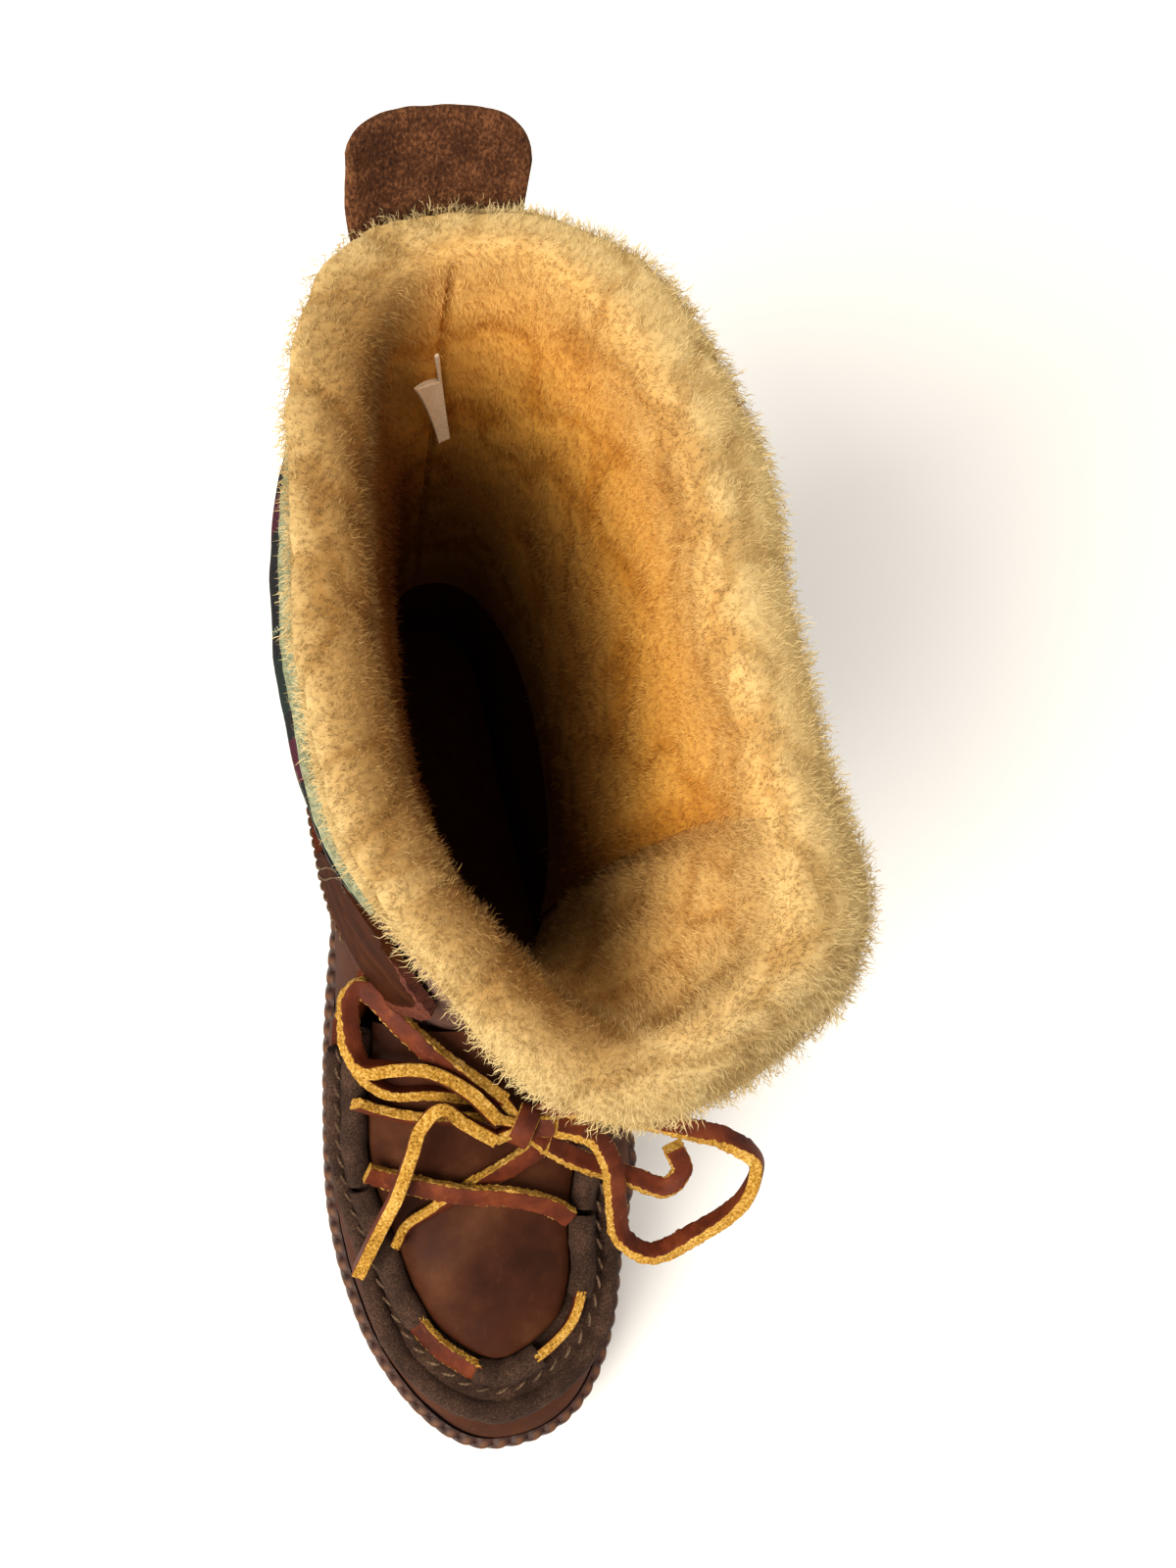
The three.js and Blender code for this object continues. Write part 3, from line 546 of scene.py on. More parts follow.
def startMaterial(name):
    material = bpy.data.materials.new(name)
    material.use_nodes = True
    tree = material.node_tree
    return material, tree, tree.nodes["Principled BSDF"], addNode(tree, "ShaderNodeTexCoord").outputs["Object"]


def oiledLeather(name, look):
    # full-grain hide, oiled and waxed: broad cloudy colour, pebbly pores, a soft uneven shine
    material, tree, shader, place = startMaterial(name)
    cloud = addNode(tree, "ShaderNodeTexNoise", {
        "Vector": place, "Scale": 1 / look["cloud"], "Detail": 5, "Roughness": 0.62})
    colour = addNode(tree, "ShaderNodeValToRGB", {"Fac": cloud}, stops=[*zip((0.3, 0.52, 0.74), look["tones"])])
    lie = addNode(tree, "ShaderNodeMapping", {"Vector": place, "Scale": (1, 0.35, 1)})
    scuff = addNode(tree, "ShaderNodeTexNoise", {"Vector": lie, "Scale": 420, "Detail": 3, "Roughness": 0.7})
    scuffed = addNode(tree, "ShaderNodeValToRGB", {"Fac": scuff}, stops=[(0.6, "#000000"), (0.74, "#ffffff")])
    worn = addNode(tree, "ShaderNodeAttribute", attribute_name="worn").outputs["Fac"]
    amount = addNode(tree, "ShaderNodeMath", {0: scuffed, 1: look["scuff"]}, operation="MULTIPLY")
    amount = addNode(tree, "ShaderNodeMath", {0: worn, 1: 0.45, 2: amount}, operation="MULTIPLY_ADD")
    mixed = addNode(tree, "ShaderNodeMix", {0: amount, 6: colour, 7: linear(look["wear"])}, data_type="RGBA")
    pores = addNode(tree, "ShaderNodeTexVoronoi", {"Vector": place, "Scale": 1 / look["grain"]},
                    feature="DISTANCE_TO_EDGE")
    fine = addNode(tree, "ShaderNodeTexNoise", {"Vector": place, "Scale": 2.2 / look["grain"], "Detail": 4})
    height = addNode(tree, "ShaderNodeMath", {0: fine, 1: 0.6, 2: pores}, operation="MULTIPLY_ADD")
    bump = addNode(tree, "ShaderNodeBump", {"Height": height, "Strength": look["bump"], "Distance": 0.0004})
    rough = addNode(tree, "ShaderNodeMapRange", {
        "Value": cloud, "From Min": 0.3, "From Max": 0.75, "To Min": look["rough"], "To Max": look["rough"] + 0.14})
    feed(shader, {
        "Base Color": mixed.outputs[2], "Normal": bump, "Roughness": rough, "IOR": 1.5,
        "Specular IOR Level": look["gloss"], "Coat Weight": look["coat"], "Coat Roughness": 0.38})
    return material


def nappedSuede(name, look):
    # split hide with its fibres brushed up: dull, with nap that lies in streaks and catches a pale sheen
    look = {"patch": 0.4, "low": 0.45, "high": 0.9, "bump": 0.8, "sheen": 0.05, "lie": (1, 1, 1)} | look
    material, tree, shader, place = startMaterial(name)
    lie = addNode(tree, "ShaderNodeMapping", {"Vector": place, "Scale": look["lie"]})
    fibre = addNode(tree, "ShaderNodeTexNoise", {
        "Vector": lie, "Scale": 1 / look["fibre"], "Detail": 5, "Roughness": 0.7})
    patch = addNode(tree, "ShaderNodeTexNoise", {"Vector": place, "Scale": 120, "Detail": 3})
    both = addNode(tree, "ShaderNodeMath", {0: patch, 1: look["patch"], 2: fibre}, operation="MULTIPLY_ADD")
    places = (look["low"], (look["low"] + look["high"]) / 2, look["high"])
    colour = addNode(tree, "ShaderNodeValToRGB", {"Fac": both}, stops=[*zip(places, look["tones"])])
    bump = addNode(tree, "ShaderNodeBump", {"Height": fibre, "Strength": look["bump"], "Distance": 0.0007})
    feed(shader, {
        "Base Color": colour, "Normal": bump, "Roughness": 0.95, "Specular IOR Level": 0.15,
        "Sheen Weight": look["sheen"], "Sheen Roughness": 0.45, "Sheen Tint": linear(look["tones"][-1])})
    return material


def mouldedRubber(name, look):
    # compression-moulded rubber: matt, slightly mottled, with fine mould texture
    material, tree, shader, place = startMaterial(name)
    mottle = addNode(tree, "ShaderNodeTexNoise", {"Vector": place, "Scale": 90, "Detail": 4, "Roughness": 0.6})
    colour = addNode(tree, "ShaderNodeValToRGB", {"Fac": mottle}, stops=[*zip((0.3, 0.7), look["tones"])])
    # the attribute lightens the crests of the rim's ropes: painted highlight
    worn = addNode(tree, "ShaderNodeAttribute", attribute_name="worn").outputs["Fac"]
    mixed = addNode(tree, "ShaderNodeMix", {0: worn, 6: colour, 7: linear(look["wear"])}, data_type="RGBA")
    mould = addNode(tree, "ShaderNodeTexNoise", {"Vector": place, "Scale": 1400, "Detail": 3})
    bump = addNode(tree, "ShaderNodeBump", {"Height": mould, "Strength": 0.35, "Distance": 0.0003})
    feed(shader, {"Base Color": mixed.outputs[2], "Normal": bump, "Roughness": look["rough"],
                  "Specular IOR Level": 0.3, "IOR": 1.52})
    return material


def woolColour(tree, place, look, level):
    # golden wool: deeper between its lumps and dark far inside (painted shade), paler and greyer where it hangs
    # outside
    lump = addNode(tree, "ShaderNodeTexNoise", {"Vector": place, "Scale": 85, "Detail": 3})
    fine = addNode(tree, "ShaderNodeTexNoise", {
        "Vector": place, "Scale": 900, "Detail": 4, "Roughness": 0.65, "Distortion": 0.8})
    creaseShade = addNode(tree, "ShaderNodeAttribute", attribute_name="creaseShade").outputs["Fac"]
    for part, share in ((lump, 0.3), (fine, 0.36), (creaseShade, -0.3)):
        level = addNode(tree, "ShaderNodeMath", {0: part, 1: share, 2: level}, operation="MULTIPLY_ADD")
    outer, inner = (addNode(tree, "ShaderNodeValToRGB", {"Fac": level}, stops=[*zip((0.3, 0.62, 0.95), look[side])])
                    for side in ("outer", "inner"))
    tone = addNode(tree, "ShaderNodeAttribute", attribute_name="tone").outputs["Fac"]
    colour = addNode(tree, "ShaderNodeMix", {0: tone, 6: outer, 7: inner}, data_type="RGBA").outputs[2]
    # the inside attribute multiplies in a dark brown: painted shade
    inside = addNode(tree, "ShaderNodeAttribute", attribute_name="inside").outputs["Fac"]
    colour = addNode(tree, "ShaderNodeMix", {0: inside, 6: colour, 7: linear(look["inside"])}, data_type="RGBA",
                     blend_type="MULTIPLY").outputs[2]
    return colour, level


def sheepskinWool(name, look):
    # dense crimped wool seen as a mass, dull and soft, kept deeper than the locks on it: painted shade under them
    material, tree, shader, place = startMaterial(name)
    colour, level = woolColour(tree, place, look, 0.1)
    bump = addNode(tree, "ShaderNodeBump", {"Height": level, "Strength": 0.6, "Distance": 0.0012})
    feed(shader, {"Base Color": colour, "Normal": bump, "Roughness": 1.0, "Specular IOR Level": 0.1})
    return material


def woolFibres(name, look):
    # single crimped fibres: deeper at the root, partly as painted shade, pale at the tip; light passes through them
    material, tree, shader, place = startMaterial(name)
    along = addNode(tree, "ShaderNodeAttribute", attribute_name="along").outputs["Fac"]
    lift = addNode(tree, "ShaderNodeMath", {0: along, 1: 0.22, 2: 0.17}, operation="MULTIPLY_ADD")
    colour, _ = woolColour(tree, place, look, lift)
    feed(shader, {"Base Color": colour, "Roughness": 0.85, "Specular IOR Level": 0.2})
    glow = addNode(tree, "ShaderNodeBsdfTranslucent", {"Color": colour})
    both = addNode(tree, "ShaderNodeMixShader", {0: 0.35, 1: shader, 2: glow})
    feed(tree.nodes["Material Output"], {"Surface": both})
    return material


def checkedWool(name, look):
    # heavy twill blanket wool, milled soft: threads drawn at twice their width so that they still show
    material, tree, shader, place = startMaterial(name)
    uv = addNode(tree, "ShaderNodeUVMap", uv_map="surface")
    around, up = addNode(tree, "ShaderNodeSeparateXYZ", {"Vector": uv}).outputs[:2]
    sets = []
    for axis in (around, up):
        part = addNode(tree, "ShaderNodeMath", {0: axis, 1: 1 / look["repeat"]}, operation="MULTIPLY")
        part = addNode(tree, "ShaderNodeMath", {0: part}, operation="FRACT")
        sets.append(addNode(tree, "ShaderNodeValToRGB", {"Fac": part}, stops=look["sett"]))
        sets[-1].color_ramp.interpolation = "CONSTANT"
    slant = addNode(tree, "ShaderNodeMath", {0: around, 1: up}, operation="ADD")
    thread = addNode(tree, "ShaderNodeMath", {0: slant, 1: 1 / look["thread"]}, operation="MULTIPLY")
    thread = addNode(tree, "ShaderNodeMath", {0: thread}, operation="FRACT")
    over = addNode(tree, "ShaderNodeMath", {0: thread, 1: 0.5}, operation="GREATER_THAN")
    cloth = addNode(tree, "ShaderNodeMix", {0: over, 6: sets[0], 7: sets[1]}, data_type="RGBA").outputs[2]
    fuzz = addNode(tree, "ShaderNodeTexNoise", {"Vector": place, "Scale": 1600, "Detail": 5, "Roughness": 0.75})
    shade = addNode(tree, "ShaderNodeMapRange", {
        "Value": fuzz, "From Min": 0.3, "From Max": 0.7, "To Min": 0.55, "To Max": 1.6})
    colour = addNode(tree, "ShaderNodeMix", {0: 1.0, 6: cloth, 7: shade}, data_type="RGBA", blend_type="MULTIPLY")
    wave = addNode(tree, "ShaderNodeMath", {0: fuzz, 1: 1.2, 2: thread}, operation="MULTIPLY_ADD")
    bump = addNode(tree, "ShaderNodeBump", {"Height": wave, "Strength": 0.6, "Distance": 0.0005})
    feed(shader, {"Base Color": colour.outputs[2], "Normal": bump, "Roughness": 0.98, "Specular IOR Level": 0.1})
    return material


# outer and inner are the wool's own tones; inside is the dark brown that painted shade multiplies in
woolTones = {
    "outer": ("#b0935e", "#d8c28c", "#efe2b8"),
    "inner": ("#c4842c", "#ebb452", "#f6cf80"),
    "inside": "#5c3514",
}
finishes = {
    "upper": oiledLeather("oiledBrownLeather", {
        "tones": ("#33190d", "#402010", "#502a17"), "wear": "#6c432a", "cloud": 0.016, "grain": 0.0011,
        "bump": 0.4, "rough": 0.62, "coat": 0.0, "gloss": 0.04, "scuff": 0.3}),
    # the facings: a darker, duller copy of the upper leather, its darkness painted shade
    "facing": oiledLeather("shadedFacingLeather", {
        "tones": ("#271107", "#371a0c", "#4a2814"), "wear": "#5e3a25", "cloud": 0.012, "grain": 0.0011,
        "bump": 0.22, "rough": 0.7, "coat": 0.0, "gloss": 0.01, "scuff": 0.3}),
    "apron": oiledLeather("waxedApronLeather", {
        "tones": ("#2b1308", "#3e1e0f", "#52301b"), "wear": "#67402a", "cloud": 0.022, "grain": 0.0009,
        "bump": 0.22, "rough": 0.5, "coat": 0.01, "gloss": 0.07, "scuff": 0.16}),
    "tongue": oiledLeather("dustyTongueLeather", {
        "tones": ("#38221a", "#553a31", "#74594d"), "wear": "#8a6f60", "cloud": 0.014, "grain": 0.0009,
        "bump": 0.25, "rough": 0.6, "coat": 0.0, "gloss": 0.08, "scuff": 0.3}),
    "roll": nappedSuede("greyBrownSuede", {
        "tones": ("#1d120c", "#34231a", "#563f31"), "fibre": 0.0006, "patch": 0.5, "low": 0.5, "high": 0.95,
        "sheen": 0.03}),
    "tab": nappedSuede("brownTabSuede", {
        "tones": ("#2a150b", "#4f2e1a", "#855636"), "fibre": 0.0007, "patch": 0.35, "low": 0.48, "high": 0.86,
        "bump": 1.0, "sheen": 0.08, "lie": (1, 0.75, 0.6)}),
    "rawEdge": nappedSuede("rawLeatherEdge", {"tones": ("#2f130b", "#542617", "#7a3f27"), "fibre": 0.0006}),
    "laceFlesh": nappedSuede("rawhideFleshSide", {
        "tones": ("#5f3f10", "#b9862e", "#ecc672"), "fibre": 0.0008, "patch": 0.3, "low": 0.46, "high": 0.84,
        "bump": 1.0, "sheen": 0.06}),
    "laceGrain": oiledLeather("rawhideGrainSide", {
        "tones": ("#3d170b", "#5b2612", "#77391b"), "wear": "#93552f", "cloud": 0.009, "grain": 0.0007,
        "bump": 0.3, "rough": 0.55, "coat": 0.02, "gloss": 0.12, "scuff": 0.3}),
    # the rim's lighter tone is the painted highlight on its ropes' crests
    "rim": mouldedRubber("reddishRimRubber", {"tones": ("#26120a", "#412216"), "wear": "#6b4223", "rough": 0.55}),
    "sole": mouldedRubber("tanCrepeRubber", {"tones": ("#503a1e", "#745632"), "wear": "#8a6c44", "rough": 0.7}),
    "fleece": sheepskinWool("sheepskinPile", woolTones),
    "fibres": woolFibres("sheepskinFibres", woolTones),
    "wool": checkedWool("checkedBlanketWool", {
        "repeat": 0.046, "thread": 0.0016, "sett": (
            (0.0, "#151516"), (0.28, "#55142a"), (0.44, "#151516"), (0.54, "#172822"), (0.74, "#151516"),
            (0.84, "#66735f"), (0.875, "#151516"))}),
    "edge": nappedSuede("paleWoolEdge", {"tones": ("#5f6a52", "#878f73", "#b4b899"), "fibre": 0.0009, "bump": 1.0}),
    "thread": nappedSuede("waxedTanThread", {
        "tones": ("#2c1f17", "#54402f", "#8d745a"), "fibre": 0.0005, "patch": 0.3, "high": 0.85, "bump": 0.5,
        "sheen": 0.1}),
    # tape tones set down to the shade it sits in: partly its own cream, partly painted shade
    "label": nappedSuede("creamWovenTape", {
        "tones": ("#b59f84", "#cdb89c", "#e0d0b6"), "fibre": 0.0005, "patch": 0.3, "low": 0.4, "bump": 0.3,
        "sheen": 0.1}),
}
print("materials made")


# laces: free cords first, then the crossings
laceSizes = {"width": 5.7, "thick": 4.0, "laid": 3.1, "round": 0.6, "free": 4.6, "clear": 2.7, "fuzz": 0.2,
             "wobble": 0.13}


def nodeOf(name):  # the solid that a piece stands for has the same name, written apart
    return "".join("_" + letter.lower() if letter.isupper() else letter for letter in name)


def laceSection(thick):  # rounded oblong, its long sides the two faces of the hide
    a, b, r = laceSizes["width"] / 2, thick / 2, laceSizes["round"]
    corners = []
    for x, y, start in ((a, b, 0), (-a, b, 90), (-a, -b, 180), (a, -b, 270)):
        for angle in np.radians((start, start + 45, start + 90)):
            corners.append((x - math.copysign(r, x) + r * math.cos(angle),
                            y - math.copysign(r, y) + r * math.sin(angle)))
    rim = []
    for here, after in zip(np.array(corners), np.roll(corners, -1, 0)):
        steps = 4 if np.linalg.norm(after - here) > 2 * r else 1
        rim += [here + (after - here) * s / steps for s in range(steps)]
    return np.array(rim)


def laceShape(name, line, tilts, seed, thick):
    # tilts: which way a face of the hide looks along the line, in degrees from level on its right side
    count = len(line)
    run = unit(np.gradient(line, axis=0))
    tilt = np.radians(np.interp(np.linspace(0, 1, count), np.linspace(0, 1, len(tilts)), tilts))[:, None]
    right = unit(np.cross(run, (0, 0, 1)))
    over = right * np.cos(tilt) + np.cross(right, run) * np.sin(tilt)
    across = np.cross(run, over)
    rim = laceSection(thick)
    loops = line[:, None] + across[:, None] * rim[None, :, :1] + over[:, None] * rim[None, :, 1:]
    cutSide = np.abs(rim[:, 0]) > laceSizes["width"] / 2 - laceSizes["round"] * 0.8
    fuzz = np.random.default_rng(seed).normal(0, laceSizes["fuzz"], loops.shape[:2]) * np.sign(rim[:, 0]) * cutSide
    wobble = laceSizes["wobble"] * ripple(loops, 19, seed)
    loops = loops + across[:, None] * fuzz[..., None] + over[:, None] * wobble[..., None]
    piece = loftPiece(name, loops)
    markFaces(piece, rim, (count - 1) * len(rim))
    return piece


def markFaces(piece, rim, sides):  # the hide's two faces are slot 1, its cut sides and ends slot 0
    for face in piece.data.polygons:
        j = face.index % len(rim)
        middle = abs(rim[j, 0] + rim[(j + 1) % len(rim), 0]) / 2
        onFace = face.index < sides and middle < laceSizes["width"] / 2 - laceSizes["round"] * 0.6
        face.material_index = 1 if onFace else 0


def makeLace(name, line, tilts, seed, thick):
    piece = laceShape(name, line, tilts, seed, thick)
    return finish(piece, "laceFlesh laceGrain", "rawhide", nodeOf(name))


# rows: side, station and height of points that each lace runs through
freeLaces = {
    "laceLoopMedial": {"count": 140, "end": "object", "tilts": (0, 0, 3, 50, 72, 72, 58, 35, 10), "rows": (
        (3.1, 182.7, 97.4), (-4, 174.8, 101), (-14, 168.3, 103), (-24.5, 165.8, 103.3), (-32.4, 164.4, 102),
        (-35, 159.5, 102), (-35.4, 151, 104.2), (-34.6, 145.6, 105.3), (-31.6, 142.9, 105.9), (-28, 145.2, 106.1),
        (-20, 155.5, 105.5), (-12.5, 163.5, 103.2), (-3.5, 170.5, 98.5), (5.8, 177.6, 95.5))},
    "laceLoopLateral": {
        "count": 200, "end": "object", "tilts": (100, 100, 100, 104, 130, 180, 215, 228, 236, 245, 250, 250, 240),
        "rows": (
            (18.9, 181.3, 96.3), (29, 183, 100.5), (42, 187, 103), (55.5, 192, 103.5), (67, 196.5, 102.5),
            (75, 203.5, 98.5), (71, 213.5, 91.5), (58, 221, 82), (45, 225, 73), (38, 219.5, 72.5),
            (36.3, 210, 80), (35, 199, 89.5), (30, 190.5, 96), (19.4, 186.5, 98))},
    "laceEndMedial": {"count": 90, "end": "bare", "tilts": (20, 10, 0, 5, 8, 10, 10), "rows": (
        (2, 187.7, 95.7), (-6.5, 182.4, 99.5), (-12.5, 178.5, 102.5), (-18, 182.5, 100), (-21.5, 189.7, 94.5),
        (-26.4, 199.6, 86), (-32.8, 209.6, 75.5), (-39, 219.3, 66.5))},
    "laceEndLateral": {"count": 70, "end": "bare", "tilts": (105, 105, 108, 100, 95, 95), "rows": (
        (16.9, 190.6, 90.8), (27, 196.5, 84.5), (41, 202.5, 80.5), (51, 207, 82), (55.5, 203, 86.5),
        (53, 196, 92))},
}
knot = {"side": 11, "station": 185, "height": 93, "run": (0.5, 0.86, 0), "long": 4.6, "high": 4.8, "square": 0.7,
        "wide": 1.1}


def freeLine(look):
    return splinePath([(side, toY(station), height) for side, station, height in look["rows"]], look["count"])


def makeKnot():  # a wrap of lace, its face outwards, and the strands that meet inside it
    centre = np.array([knot["side"], float(toY(knot["station"])), knot["height"]])
    turn = np.arange(72) / 72 * 2 * math.pi
    along = unit(np.array(knot["run"]))
    side = np.array([along[1], -along[0], 0])
    squared = np.sign(np.cos(turn)) * np.abs(np.cos(turn)) ** knot["square"]
    ring = centre + along * knot["long"] * squared[:, None] + stack(0, 0, knot["high"] * np.sin(turn))
    out = np.cross(unit(np.roll(ring, -1, 0) - np.roll(ring, 1, 0)), side)
    rim = laceSection(laceSizes["laid"])
    loops = ring[:, None] + side * rim[None, :, :1] * knot["wide"] + out[:, None] * rim[None, :, 1:]
    wrap = loftPiece("knotWrap", loops, ring=True)
    markFaces(wrap, rim, len(wrap.data.polygons))
    parts = [wrap]
    for look in freeLaces.values():
        line = freeLine(look)
        for end in ((0, -1) if look["end"] == "object" else (0,)):
            inner, outer = (centre + (line[end] - centre) * share for share in (0.15, 1.02))
            strand = inner + (outer - inner) * np.linspace(0, 1, 8)[:, None]
            parts.append(laceShape("knotStrand", strand, (look["tilts"][end],), 5, laceSizes["laid"]))
    return finish(joinPieces("laceKnot", parts), "laceFlesh laceGrain", "rawhide", "lace_knot")


laceKnot = makeKnot()
for i, (name, look) in enumerate(freeLaces.items()):
    line = freeLine(look)
    piece = makeLace(name, line, look["tilts"], 11 + i, laceSizes["thick"])
    long = float(np.linalg.norm(np.diff(line, axis=0), axis=1).sum()) * mm
    print(name, "length", round(long, 4))

laidLaces = {  # side, station and height over the apron
    "laceCrossLow": {"count": 70, "tilts": (5, 10, 25, 50, 60, 60), "rows": (
        (-27.5, 213.5, 2.9), (-24, 208.5, 1.6), (-16.5, 205, 0.3), (-5, 200, 0), (7, 195.5, 0.2), (26, 186.5, 1))},
    "laceCrossHigh": {"count": 80, "tilts": (120, 125, 128, 125, 122, 120), "rows": (
        (24, 212, 2.4), (18, 208, 1.8), (6, 204, 4.2), (-8, 201.5, 4.6), (-19, 198, 3.4), (-28.5, 194.5, 3),
        (-34, 192.2, 4.6))},
    "laceTieMedial": {"count": 60, "tilts": (8, 5, 8, 15), "rows": (
        (-35.5, 173.2, 5), (-29.3, 175.7, 2.4), (-19.3, 178.9, 1.5), (-6.3, 180.8, 2.5), (3.7, 182.8, 4.7))},
    "laceTieSecond": {"count": 40, "tilts": (150, 150, 155, 155), "rows": (
        (-34.6, 163.2, 5.4), (-30.5, 168, 3.2), (-25, 171.3, 1.5), (-16, 172.6, 1.4), (-9, 173.8, 1.3),
        (-3, 175, 1.3))},
    "laceTieLateral": {"count": 30, "tilts": (20, 20), "rows": (
        (26.5, 171, 1.1), (27.5, 176, 1.7), (25, 181, 3.5))},
}
for i, (name, look) in enumerate(laidLaces.items()):
    rows = [(side, float(toY(station)), overApron(side, station, laceSizes["clear"] + lift))
            for side, station, lift in look["rows"]]
    makeLace(name, splinePath(rows, look["count"]), look["tilts"], 31 + i, laceSizes["laid"])

toeLaces = {  # shares of the throat line between which the lace shows
    "laceToeMedial": {"from": 0.376, "to": 0.473, "lift": 1.0, "tilts": (50, 55, 50)},
    "laceToeLateral": {"from": 0.539, "to": 0.634, "lift": 1.0, "tilts": (5, 0)},
}
for i, (name, look) in enumerate(toeLaces.items()):
    line = throatPoint(np.linspace(look["from"], look["to"], 40), 0, look["lift"])
    makeLace(name, line, look["tilts"], 41 + i, laceSizes["laid"])
print("laces laid")

# upper: one hollow leather wall, with its creases
upperSizes = {
    "around": 400, "up": 40, "within": 8, "lumps": ((0.45, 62, 3), (0.16, 21, 4)), "bend": 0.012,
    "creases": (  # turn, rise, direction on the surface in degrees, length, width and depth in mm
        (0.30, 0.55, 70, 46, 5.5, 1.0), (0.33, 0.62, 62, 34, 4.0, 0.7), (0.70, 0.55, 112, 44, 5.0, 0.9),
        (0.665, 0.6, 118, 36, 4.2, 0.8), (0.735, 0.42, 100, 40, 6.0, 0.8), (0.78, 0.66, 84, 30, 4.6, 0.6),
        (0.24, 0.5, 95, 38, 6.0, 0.7), (0.9, 0.7, 60, 26, 4.0, 0.5)),
}


def upperRelief(turn, rise):  # folds and swellings of the leather, in mm along its normal
    place = upperSurface(turn, rise)
    relief = ripples(place, *upperSizes["lumps"])
    for at, high, way, long, wide, deep in upperSizes["creases"]:
        centre = upperSurface(at, high)
        up = unit(upperSurface(at, high + 0.03) - centre)
        around = unit(upperSurface(at + 0.01, high) - centre)
        offset = place - centre
        a, b = (offset * around).sum(-1), (offset * up).sum(-1)
        cos, sin = math.cos(math.radians(way)), math.sin(math.radians(way))
        along, aside = a * cos + b * sin, -a * sin + b * cos
        aside = aside + upperSizes["bend"] * along**2
        fade = np.exp(-(along / (long / 2)) ** 4) * (np.abs((offset**2).sum(-1)) < (long * 1.5) ** 2)
        relief = relief - deep * fade * (bell(aside, 0, wide / 2) - 0.45 * bell(aside, wide, wide))
    ends = smoothStep(rise, 0.0, 0.06) * (1 - smoothStep(rise, 0.95, 1.0))
    return relief * ends


def makeUpper():
    turn = np.arange(upperSizes["around"]) / upperSizes["around"]
    grid, rises = np.meshgrid(turn, np.linspace(0, 1, upperSizes["up"]), indexing="ij")
    relief = upperRelief(grid, rises)
    within = np.linspace(1, 0, upperSizes["within"])[None, :]
    loops = np.hstack([upperPoint(grid, rises, relief), upperPoint(turn[:, None], within, -sizes["leather"])])
    worn = np.zeros(loops.shape[:2])
    worn[:, :upperSizes["up"]] = np.clip(relief * 0.5, 0, 1) + smoothStep(rises, 0.96, 1.0)
    piece = loftPiece("upperLeather", loops, ring=True, attributes={"worn": worn})
    for face in piece.data.polygons:  # the strip along the top edge is raw
        face.material_index = 1 if face.index % loops.shape[1] == upperSizes["up"] - 1 else 0
    finish(piece, "upper rawEdge", "leather", "upper")


makeUpper()
print("upper made")

# apron, roll, flange and casings
apronLook = {"along": 110, "across": 70, "under": 6, "lumps": ((0.5, 48, 7), (0.2, 17, 8)), "puff": 1.2,
             "edgeDrop": 0.6}


def makeApron():
    run, side = np.broadcast_arrays(np.linspace(0, 1, apronLook["along"])[:, None],
                                    np.linspace(-1, 1, apronLook["across"])[None, :])
    first = apronSizes["from"] + apronSizes["bow"] * (1 - side**2)
    share = first + (apronSizes["to"] - first) * run
    place = apronPoint(share, side, apronSizes["raise"])
    relief = ripples(place, *apronLook["lumps"])
    relief = relief * (1 - side**8) * smoothStep(run, 0, 0.05)
    puff = apronLook["puff"] * (1 - side**6) * (1 - run**10)
    top = place + stack(0, 0, relief + puff - apronLook["edgeDrop"] * np.abs(side) ** 12)
    low = apronPoint(share, side, apronSizes["raise"] - sizes["leather"])[:, ::-apronLook["under"]]
    loops = np.hstack([top, low])
    worn = np.zeros(loops.shape[:2])
    worn[:, :apronLook["across"]] = np.clip(relief, 0, 1) * 0.5
    piece = loftPiece("apronLeather", loops, split=apronLook["across"], attributes={"worn": worn})
    finish(piece, "apron", "apron_leather", "apron")


makeApron()

rollLook = {"count": 420, "sides": 24, "lumps": ((0.3, 26, 12), (0.22, 7.5, 13), (0.08, 2.6, 14))}


def makeRoll():
    share = np.linspace(rollSizes["end"], 1 - rollSizes["end"], rollLook["count"])
    line = throatPoint(share, rollOut(share), -rollDown(share))
    loops = tubeLoops(line, rollRadius(share), rollLook["sides"])
    loops = loops + unit(loops - line[:, None]) * ripples(loops, *rollLook["lumps"])[..., None]
    finish(loftPiece("mocRoll", loops), "roll", "suede", "moc_roll")


makeRoll()

flangeLook = {"count": 480, "from": 0.02, "in": -5.6, "down": 2.3, "dip": 0.4, "join": 2.7, "thick": 1.2,
              "across": (0, 0.16, 0.32, 0.48, 0.64, 0.8, 1), "puckers": ((0.35, 7, 15), (0.25, 3.2, 16))}


def makeFlange():  # the suede flat that joins the casings to the roll and lies under the lace at the toe
    share = np.linspace(flangeLook["from"], 1 - flangeLook["from"], flangeLook["count"])[:, None]
    reach = rollOut(share) - 0.3 * rollRadius(share)
    across = np.array(flangeLook["across"])[None, :]
    out = flangeLook["in"] + (reach - flangeLook["in"]) * across
    drop = rollDown(share) - 0.5 * rollRadius(share) - flangeLook["join"]
    lift = -flangeLook["down"] - flangeLook["dip"] * across - drop * smoothStep(across, 0.6, 1)
    top = throatPoint(share, out, lift)
    top = top + stack(0, 0, ripples(top, *flangeLook["puckers"]) * (1 - across**4))
    low = throatPoint(share, out, lift - flangeLook["thick"])[:, ::-1]
    finish(loftPiece("mocFlange", np.hstack([top, low])), "roll", "suede")


makeFlange()

casingLook = {"perShare": 760, "sides": 22, "thick": 1.1, "lip": 0.25, "lipRate": 30}
